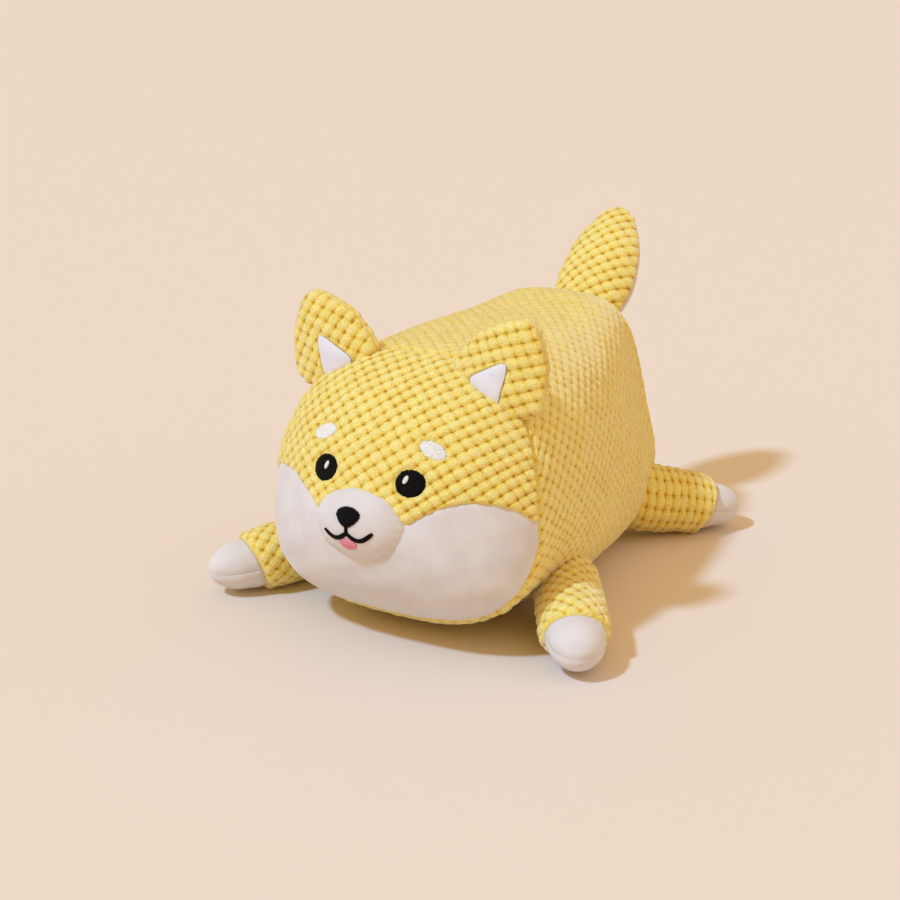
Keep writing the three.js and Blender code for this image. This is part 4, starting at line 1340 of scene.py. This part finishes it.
print("an ear is", 2 * EAR["half_width"], "mm wide and the tail", 2 * TAIL["half_width"], "mm")

# %% [markdown]
# An outline is half a superellipse above and half another below. A power under 2 gives it the point of an
# ear, and the tip may lean outwards. The same sum, turned round, tells how far out any place on it is.

# %% Outline of a leaf
def unit(vector):
    return vector / np.linalg.norm(vector)


def leaf_outline(leaf, angle, share, outwards=1):
    cos = np.cos(angle)
    sin = np.sin(angle)
    height = np.where(sin >= 0, leaf["height"], leaf["root"])
    power = leaf["power"]
    radius = (np.abs(cos / leaf["half_width"])**power + np.abs(sin / height)**power)**(-1 / power) * share
    reach = np.maximum(radius * sin / leaf["height"], 0)
    return radius * cos + outwards * leaf["tip"] * reach**2, radius * sin + leaf["middle"]


def leaf_share(leaf, x, y, outwards=1):
    """How far out a point is on the leaf: 0 in its middle and 1 on its outline."""
    y = y - leaf["middle"]
    x = x - outwards * leaf["tip"] * np.maximum(y / leaf["height"], 0)**2
    height = np.where(y > 0, leaf["height"], leaf["root"])
    power = leaf["power"]
    return (np.abs(x / leaf["half_width"])**power + np.abs(y / height)**power)**(1 / power)


tail_tip = leaf_outline(TAIL, np.array(math.pi / 2), 1.0)[1]
print("the tip of the tail lies", round(float(tail_tip), 1), "mm over its root")

# %% [markdown]
# The cloth at the root is sewn to the body. The span over which it would bend is two points, one on each
# side of the hinge, but nothing bends the cloth with them: a leaf is left where it is made.

# %% Cloth of a leaf
def leaf_place(here, x, y, z):
    root, across, rise, front = here
    return root + x[..., None] * across + y[..., None] * rise + z[..., None] * front


def bend_span(root, along, bend):
    """The two points between which the cloth would bend, in metres. Nothing bends it with them."""
    return [tuple((root + along * at) * MM) for at in bend]


def full_pile(x, y):
    return np.full_like(x, LEAF_PILE_SHARE)


def leaf_cloth(name, leaf, here, outwards, face, material, body, bend, replaced, pile=None):
    """One half of a leaf. face is 1 for the front half and -1 for the back half.

    pile gives the share of the pile's height at any x and y, and velboa has none.
    """
    root, across, rise, front = here
    angle, share = disc(steps_for(leaf["height"] + leaf["root"]))
    x, y = leaf_outline(leaf, angle, share, outwards)
    thick = bulge(share, leaf["thick"] - LEAF_SINK, LEAF_ROUND_SHARE) + LEAF_EDGE
    base = leaf_place(here, x, y, face * thick)
    flat = (x, y, pile(x, y)) if pile else None
    cloth(name, base, root + leaf["middle"] * rise, material, (body, *bend_span(root, rise, bend)),
          replaced, flat=flat, sides=SIDES, seam=LEAF_SEAM)


print("half an ear is", EAR["thick"] - LEAF_SINK + LEAF_EDGE, "mm thick in its middle")

# %% [markdown]
# The white patch of an ear is a soft triangle, sewn on the front. Straight lines with a rounded corner
# between them come from one sum of powers, so its edge needs no drawn curve. The yellow pile is pressed
# down under it.

# %% Patch of an ear
PATCH_CORNERS = np.array([[1.8, 11.6], [-10.4, -2.6], [4.6, -8.2]])
PATCH_MIDDLE = PATCH_CORNERS.mean(0)
CORNER_POWER = 3
PILE_DOWN_TO = 0.95
PILE_UP_OVER = 0.15


def patch_share(x, y):
    """How far out a place is on the ear patch: 0 in its middle and 1 on its edge.

    Its corners are the tip, the inner corner and the low one. x and y are measured from its middle, with x
    outwards.
    """
    total = np.zeros_like(x)
    for k in range(len(PATCH_CORNERS)):
        a = PATCH_CORNERS[k] - PATCH_MIDDLE
        b = PATCH_CORNERS[(k + 1) % len(PATCH_CORNERS)] - PATCH_MIDDLE
        normal = np.array([b[1] - a[1], a[0] - b[0]])
        normal /= normal @ a
        total += np.maximum(x * normal[0] + y * normal[1], 0)**CORNER_POWER
    return total**(1 / CORNER_POWER)


def patch_outline(angle, share, outwards):
    across = np.cos(angle)
    up = np.sin(angle)
    edge = patch_share(across, up)
    return outwards * (PATCH_MIDDLE[0] + share * across / edge), PATCH_MIDDLE[1] + share * up / edge


def pile_round_patch(outwards):
    """The pile of an ear's front, which stands everywhere except under the patch."""
    def pile(x, y):
        out = patch_share(outwards * x - PATCH_MIDDLE[0], y - PATCH_MIDDLE[1])
        return LEAF_PILE_SHARE * np.clip((out - PILE_DOWN_TO) / PILE_UP_OVER, 0, 1)
    return pile


print("middle of the patch:", PATCH_MIDDLE.round(1))

# %% [markdown]
# The ears stand near the front of the head, rolled outwards and leaning back a little. Each has its own
# axes: across, up along the ear, and to its front. The patch follows the swell of the front leaf.

# %% Ears
EAR_BEND = (-2.0, 7.0)
EAR_PATCH_STEPS = 24
EAR_PATCH_CLEAR = 0.9
EAR_PATCH_CROWN = 0.5
EAR_PATCH_THICK = 0.9

for side_name, side in BOTH_SIDES.items():
    roll = EAR_ROLL * side
    across = np.array([math.cos(roll), 0, -math.sin(roll)])
    upright = np.array([math.sin(roll), 0, math.cos(roll)])
    front = np.cross(across, upright)
    rise = unit(upright * math.cos(EAR_LEAN) - front * math.sin(EAR_LEAN))
    front = np.cross(across, rise)
    root = np.array([side * (BODY_WIDTH / 2 - EAR_INSET), EAR_Y + SHIFT_Y, BODY_HEIGHT - EAR_BELOW_TOP])
    here = (root, across, rise, front)
    body = f"{side_name}_ear"
    leaf_cloth(f"{body}_front_fleece", EAR, here, side, 1, yellow_fleece, body, EAR_BEND,
               [f"{body}_front"], pile_round_patch(side))
    leaf_cloth(f"{body}_back_fleece", EAR, here, side, -1, yellow_fleece, body, EAR_BEND,
               [f"{body}_back"], full_pile)
    angle, share = disc(EAR_PATCH_STEPS)
    x, y = patch_outline(angle, share, side)
    over_ear = EAR_PATCH_CLEAR + EAR_PATCH_CROWN * (1 - share**CROWN_POWER)
    z = bulge(leaf_share(EAR, x, y, side), EAR["thick"], LEAF_ROUND_SHARE) + over_ear
    cloth(f"{body}_inner_velboa", leaf_place(here, x, y, z), root - front, cool_velboa,
          (body, *bend_span(root, rise, EAR_BEND)), [f"{body}_inner"],
          thickness=EAR_PATCH_THICK, seam=0.0)

# %% [markdown]
# The tail stands over the rump and leans back, so only its yellow front shows from before. It is stuffed
# thick, which rounds it like a small cushion.

# %% Tail
TAIL_BEND = (-4.0, 8.0)
TAIL_ASIDE = 1.8

rise = np.array([0, math.sin(TAIL_LEAN), math.cos(TAIL_LEAN)])
front = np.cross(ACROSS, rise)
root = np.array([TAIL_ASIDE, BODY_LENGTH + TAIL_BEHIND + SHIFT_Y, BODY_HEIGHT - TAIL_BELOW_TOP])
here = (root, ACROSS, rise, front)
leaf_cloth("tail_front_fleece", TAIL, here, 1, 1, yellow_fleece, "tail", TAIL_BEND,
           ["tail_front"], full_pile)
leaf_cloth("tail_back_velboa", TAIL, here, 1, -1, white_velboa, "tail", TAIL_BEND,
           ["tail_back"])

# %% [markdown]
# Legs
#
# A leg is a stuffed tube that narrows to the paw. The sleeve is fleece, and the paw is a cap of velboa with
# a seam between its top and its sole. A lathe or a spin would make such a tube too, but here its radius is
# asked for at any distance from the root, as its cuff is cut on a slant.

# %% Leg sizes
LEGS = {
    "front_leg": {
        "inset": 5.0,
        "root_y": 36.0,
        "reach": (21.5, -36.0),
        "radii": (11.0, 11.1, 9.3),
    },
    "hind_leg": {
        "inset": 16.0,
        "root_y": BODY_LENGTH - 7.0,
        "reach": (20.5, 20.0),
        "radii": (13.0, 11.6, 9.0),
    },
}
LEG_CLEARANCE = 1.0
ROOT_LIFT = 1.5
SWELL_SHARE = 0.65
PAW_LONG_SHARE = 1.35
PAW_POINT = 1.75
PAW_WIDE = 0.1
LEG_SINK = 0.4


print("legs:", [f"{leg_name} reaches {sizes['reach']} mm" for leg_name, sizes in LEGS.items()])

# %% [markdown]
# Along the leg the radius changes in a straight line from the root to the swell, and then in a curve to the
# paw, which is the blunt half of an egg. A grid round that tube starts and ends at a distance of its own at
# each angle, so the cuff between sleeve and paw can lie on a slant.

# %% Grid round a leg
def leg_radius(y, length, radii):
    """The leg's radius at a distance from its root."""
    root, swell, paw = radii
    share = y / length
    early = root + (swell - root) * share / SWELL_SHARE
    late = swell + (paw - swell) * ((share - SWELL_SHARE) / (1 - SWELL_SHARE))**2
    tube = np.where(share < SWELL_SHARE, early, late)
    back = np.sqrt(np.maximum(root**2 - y**2, 0))
    tip = paw * np.maximum(1 - (np.maximum(y - length, 0) / (paw * PAW_LONG_SHARE))**PAW_POINT, 0)**(1 / 2)
    return np.where(y < 0, back, np.where(y > length, tip, tube))


def leg_grid(here, length, radii, start_y, end_y, shares, turn):
    """A grid round the leg. start_y and end_y are its two ends at each angle round it."""
    root, across, along, upright = here
    share, turn = np.meshgrid(shares, turn, indexing="ij")
    y = start_y(turn) * (1 - share) + end_y(turn) * share
    radius = leg_radius(y, length, radii) - LEG_SINK
    wide = 1 + PAW_WIDE * np.clip(y / length, 0, 1)
    return (
        root
        + y[..., None] * along
        + (radius * wide * np.cos(turn))[..., None] * across
        + (radius * np.sin(turn))[..., None] * upright
    ), y, turn


def leg_axes(side, inset, root_y, reach, radii):
    """A leg's root with its axes across, along and upright, and its length."""
    root = np.array([side * (BODY_WIDTH / 2 - inset), root_y + SHIFT_Y, radii[0] + LEG_CLEARANCE + ROOT_LIFT])
    paw = np.array([root[0] + side * reach[0], root[1] + reach[1], radii[2] + LEG_CLEARANCE])
    along = unit(paw - root)
    across = unit(np.cross(along, UPWARDS))
    return (root, across, along, np.cross(across, along)), np.linalg.norm(paw - root)


print("a front leg is", round(leg_axes(1, **LEGS["front_leg"])[1], 1), "mm long from root to paw")

# %% [markdown]
# Each sleeve is sewn into the body, but here it is left where it is made, on no body. Its bobbles come from
# its own flat pattern: round the leg and along it. The hind sleeves are cut another way from the cloth, which
# turns their lattice by an eighth of a turn, and so their bobbles lie in straight rows. A whole number of
# bobbles goes round a leg, or the lattice would break where the two edges of the grid meet.

# %% Sleeve
SLEEVE_SHARE = 0.9
SLEEVE_SEAM = 0.3
CUFF_SLANT = 2.2
ROOT_ROUND_SHARE = 0.97
LEG_BEND = (-2.0, 16.0)
LEG_PILE_SHARE = 0.85
STRAIGHT_LONG = 3.4


def level(y):
    """An end of the grid that lies at the same distance all round."""
    return lambda turn: np.full_like(turn, y)


def cuff(length):
    """The end of a sleeve, which lies further out above than below."""
    return lambda turn: length * SLEEVE_SHARE + CUFF_SLANT * np.sin(turn)


def sleeve(name, here, length, radii, straight):
    """The fleece of a leg. straight is true where its bobbles lie in straight rows round it."""
    root, _, along, _ = here
    start_y = -ROOT_ROUND_SHARE * radii[0]
    girth = 2 * math.pi * radii[1]
    turn = np.linspace(-math.pi / 2, 1.5 * math.pi, steps_for(girth) + 1)
    shares = np.linspace(0, 1, steps_for(length * SLEEVE_SHARE - start_y) + 1)
    base, y, turn = leg_grid(here, length, radii, level(start_y), cuff(length), shares, turn)
    around = turn / (2 * math.pi) * max(1, round(girth / BOBBLE_WIDE))
    along_leg = y / BOBBLE_LONG
    if straight:
        along_leg, around = y / STRAIGHT_LONG / 2 + around / 2, around / 2 - y / STRAIGHT_LONG / 2
    flat = (along_leg * BOBBLE_LONG, around * BOBBLE_WIDE, np.full_like(y, LEG_PILE_SHARE))
    cloth(f"{name}_sleeve_fleece", base, root + along * length / 2, yellow_fleece,
          (name, *bend_span(root, along, LEG_BEND)), [f"{name}_sleeve"], flat=flat,
          sides=("start", "end"), around=True, seam=SLEEVE_SEAM)


print("a sleeve covers", SLEEVE_SHARE, "of a leg")

# %% [markdown]
# A paw is two pieces of velboa, a top and a sole, sewn together along its sides. It turns stiffly with its
# leg, as it lies far from the joint. Its grid narrows to the tip but stops just short of it, because a line
# of points that fall together would leave faces without an area.

# %% Legs with sleeves and paws
CUT_STRAIGHT = ["hind_leg"]
PAW_FINE = 0.8
PAW_TIP_GAP = 0.02
PAW_OVER = 0.1
PAW_SEAM = 0.4
PAW_PARTS = {"top": (0.0, math.pi), "sole": (-math.pi, 0.0)}


def paw(name, here, length, radii):
    root, _, along, _ = here
    tip_y = length + radii[2] * PAW_LONG_SHARE
    shares = np.sin(np.linspace(0, math.pi / 2, steps_for(tip_y - length * SLEEVE_SHARE, PAW_FINE) + 1))
    for part, (low, high) in PAW_PARTS.items():
        turn = np.linspace(low, high, steps_for(math.pi * radii[1], PAW_FINE) + 1)
        base, _, _ = leg_grid(here, length, radii, cuff(length), level(tip_y - PAW_TIP_GAP), shares, turn)
        cloth(f"{name}_paw_{part}_velboa", base, root + along * length / 2, white_velboa, name,
              [f"{name}_paw_{part}"], relief=PAW_OVER, sides=("start", "left", "right"),
              seam=PAW_SEAM)


for side_name, side in BOTH_SIDES.items():
    for leg_name, sizes in LEGS.items():
        here, length = leg_axes(side, **sizes)
        name = f"{side_name}_{leg_name}"
        sleeve(name, here, length, sizes["radii"], leg_name in CUT_STRAIGHT)
        paw(name, here, length, sizes["radii"])

# %% [markdown]
# What is inside
#
# Nothing of it shows, but the toy is whole: wads of polyester fibre fill the skin round a squeaker. A wad
# starts as a copy of its CAD solid, is remeshed to even faces and then roughened by waves, and those of the
# limbs are a little slack, so that they turn freely in the body. A particle system of fibres would be real
# padding, but no one could see it.

# %% Stuffing
WAD_VOXEL = 3.0
WAD_LUMP = 0.4
LUMPS_CLOSE = (1.0, 1.3, 0.8)
LIMB_SLACK = 1.2
BODY_OF = {name: body for body, names in frame["record"]["behaviour"]["bodies"].items() for name in names}


def wad(cad_name):
    """A lumpy wad of fibre with the form of a CAD solid. Its lumps only ever make it smaller."""
    source = frame["nodes"][cad_name]
    made = bpy.data.objects.new(cad_name.replace("_stuffing", "_fibre_wad"), source.data.copy())
    bpy.context.scene.collection.objects.link(made)
    remesh = made.modifiers.new("even_faces", "REMESH")
    remesh.mode = "VOXEL"
    remesh.voxel_size = WAD_VOXEL * MM
    depsgraph = bpy.context.evaluated_depsgraph_get()
    mesh = bpy.data.meshes.new_from_object(made.evaluated_get(depsgraph))
    made.modifiers.clear()
    made.data = mesh
    mesh.materials.clear()
    mesh.materials.append(polyester_fibre)
    places = np.zeros(len(mesh.vertices) * 3)
    mesh.vertices.foreach_get("co", places)
    places = places.reshape(-1, 3) / MM
    normals = np.zeros(len(mesh.vertices) * 3)
    mesh.vertices.foreach_get("normal", normals)
    lumps = np.sin(places * LUMPS_CLOSE).prod(axis=1) - 1
    still = BODY_OF[cad_name] == "root"
    inset = WAD_LUMP * lumps - (0.0 if still else LIMB_SLACK)
    places += normals.reshape(-1, 3) * inset[:, None]
    if still:
        places = settle(places)
    mesh.vertices.foreach_set("co", (places * MM).ravel())
    mesh.polygons.foreach_set("use_smooth", [True] * len(mesh.polygons))
    mesh.update()
    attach(made, BODY_OF[cad_name])
    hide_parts(cad_name)
    print(made.name, len(mesh.polygons), "faces")


for cad_name in sorted(frame["nodes"]):
    if cad_name.endswith("_stuffing"):
        wad(cad_name)

# %% [markdown]
# The squeaker's own CAD pieces have the right shape and only need their plastic. Its bellows are thin and
# pleated, and fold flat as the cap is pressed; here they only get a mesh of their own.

for cad_name, cad_object in frame["nodes"].items():
    if cad_name.startswith("squeaker_"):
        cad_object.data.materials.clear()
        cad_object.data.materials.append(polyethylene)
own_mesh(frame["nodes"]["squeaker_bellows"])
print("squeaker pieces:", [name for name in frame["nodes"] if name.startswith("squeaker_")])

# %% [markdown]
# Studio
#
# The floor is plain, pale and large enough to fill the view. It lies a tenth of a millimetre below the
# plane that the toy rests on, so that the two never share a plane.

# %% Floor
FLOOR_SIZE = 60.0
FLOOR_DROP = 0.0001
FLOOR_COLOUR = "#e5d6c9"
FLOOR_ROUGHNESS = 0.8

floor_mesh = bpy.data.meshes.new("floor")
half = FLOOR_SIZE / 2
corners = [(x, y, -FLOOR_DROP) for x, y in ((-half, -half), (half, -half), (half, half), (-half, half))]
floor_mesh.from_pydata(corners, [], [(0, 1, 2, 3)])
floor = bpy.data.objects.new("floor", floor_mesh)
bpy.context.scene.collection.objects.link(floor)
floor_paint = bpy.data.materials.new("pale_painted_board")
floor_paint.use_nodes = True
floor_shader = floor_paint.node_tree.nodes["Principled BSDF"]
floor_shader.inputs["Base Color"].default_value = colour(FLOOR_COLOUR)
floor_shader.inputs["Roughness"].default_value = FLOOR_ROUGHNESS
floor_mesh.materials.append(floor_paint)
print("floor", FLOOR_SIZE, "m wide")

# %% [markdown]
# The key lamp stands high on the left of the picture, a weak and very wide fill lamp stands high on its
# right, and the world lights the shadows. In the photograph the shadows are peach and the bright sides
# neutral. So the world is warm and both lamps are cool: where only the world reaches, a surface looks warm,
# and on a face turned to the key the three add up to about 1 and to white, so that a colour renders about
# as written. Sun lamps are used, as their light doesn't fade with distance, and a wide sun has the soft
# edges of a large window.

# %% Light
KEY_TOWARD = (-0.55, 0.35, 0.72)
KEY_SHARE = 0.8
KEY_WIDTH = 5
KEY_TINT = "#aed6ff"
FILL_TOWARD = (0.9, 0.05, 0.7)
FILL_SHARE = 0.14
FILL_WIDTH = 60
FILL_TINT = "#9fbbff"
WORLD_SHARE = 0.79
WORLD_TINT = "#ffdb9a"

AZIMUTH = math.radians(30.0)
ELEVATION = math.radians(18.6)
view_right = Vector((math.cos(AZIMUTH), math.sin(AZIMUTH), 0))
view_back = Vector((
    math.sin(AZIMUTH) * math.cos(ELEVATION),
    -math.cos(AZIMUTH) * math.cos(ELEVATION),
    math.sin(ELEVATION),
))


def lamp(name, toward, share, width, tint):
    """A far lamp. toward is how far right, back and up it stands for the camera, and width is an angle."""
    right, back, up = toward
    data = bpy.data.lights.new(name, "SUN")
    data.angle = math.radians(width)
    data.energy = share * math.pi
    data.color = colour(tint)[:3]
    made = bpy.data.objects.new(name, data)
    bpy.context.scene.collection.objects.link(made)
    direction = (right * view_right + back * view_back + Vector((0, 0, up))).normalized()
    made.rotation_euler = direction.to_track_quat("Z", "Y").to_euler()
    print(name, round(data.energy, 2), "W per square metre")


lamp("key_lamp", KEY_TOWARD, KEY_SHARE, KEY_WIDTH, KEY_TINT)
lamp("fill_lamp", FILL_TOWARD, FILL_SHARE, FILL_WIDTH, FILL_TINT)

world = bpy.data.worlds.new("studio")
bpy.context.scene.world = world
world.use_nodes = True
sky = world.node_tree.nodes["Background"]
sky.inputs["Color"].default_value = colour(WORLD_TINT)
sky.inputs["Strength"].default_value = WORLD_SHARE
print("world strength", WORLD_SHARE)

# %% [markdown]
# The camera stands where the photograph was taken from. Its distance, its direction and its lens were
# fitted to pairs of places on the toy, such as both eyes and both paws. Blender gives a lens in
# millimetres, which follows from its focal length in pixels and the width of the sensor.

# %% Camera
TARGET = Vector((0, SHIFT_Y * MM + 0.031, 0.057))
CAMERA_DISTANCE = 0.640
FOCAL_PIXELS = 1800
IMAGE_PIXELS = 900
SENSOR = 36.0
SHIFT_PIXELS = 5.5

camera_data = bpy.data.cameras.new("camera")
camera_data.sensor_width = SENSOR
camera_data.lens = FOCAL_PIXELS * SENSOR / IMAGE_PIXELS
camera_data.shift_x = SHIFT_PIXELS / IMAGE_PIXELS
camera = bpy.data.objects.new("camera", camera_data)
bpy.context.scene.collection.objects.link(camera)
camera.location = TARGET + view_back * CAMERA_DISTANCE
camera.rotation_euler = view_back.to_track_quat("Z", "Y").to_euler()
bpy.context.scene.camera = camera
bpy.context.scene.view_settings.view_transform = "Standard"
print("camera at", [round(c, 3) for c in camera.location])

# %% [markdown]
# Last, the scene is brought up to date.

# %% The end
bpy.context.view_layer.update()
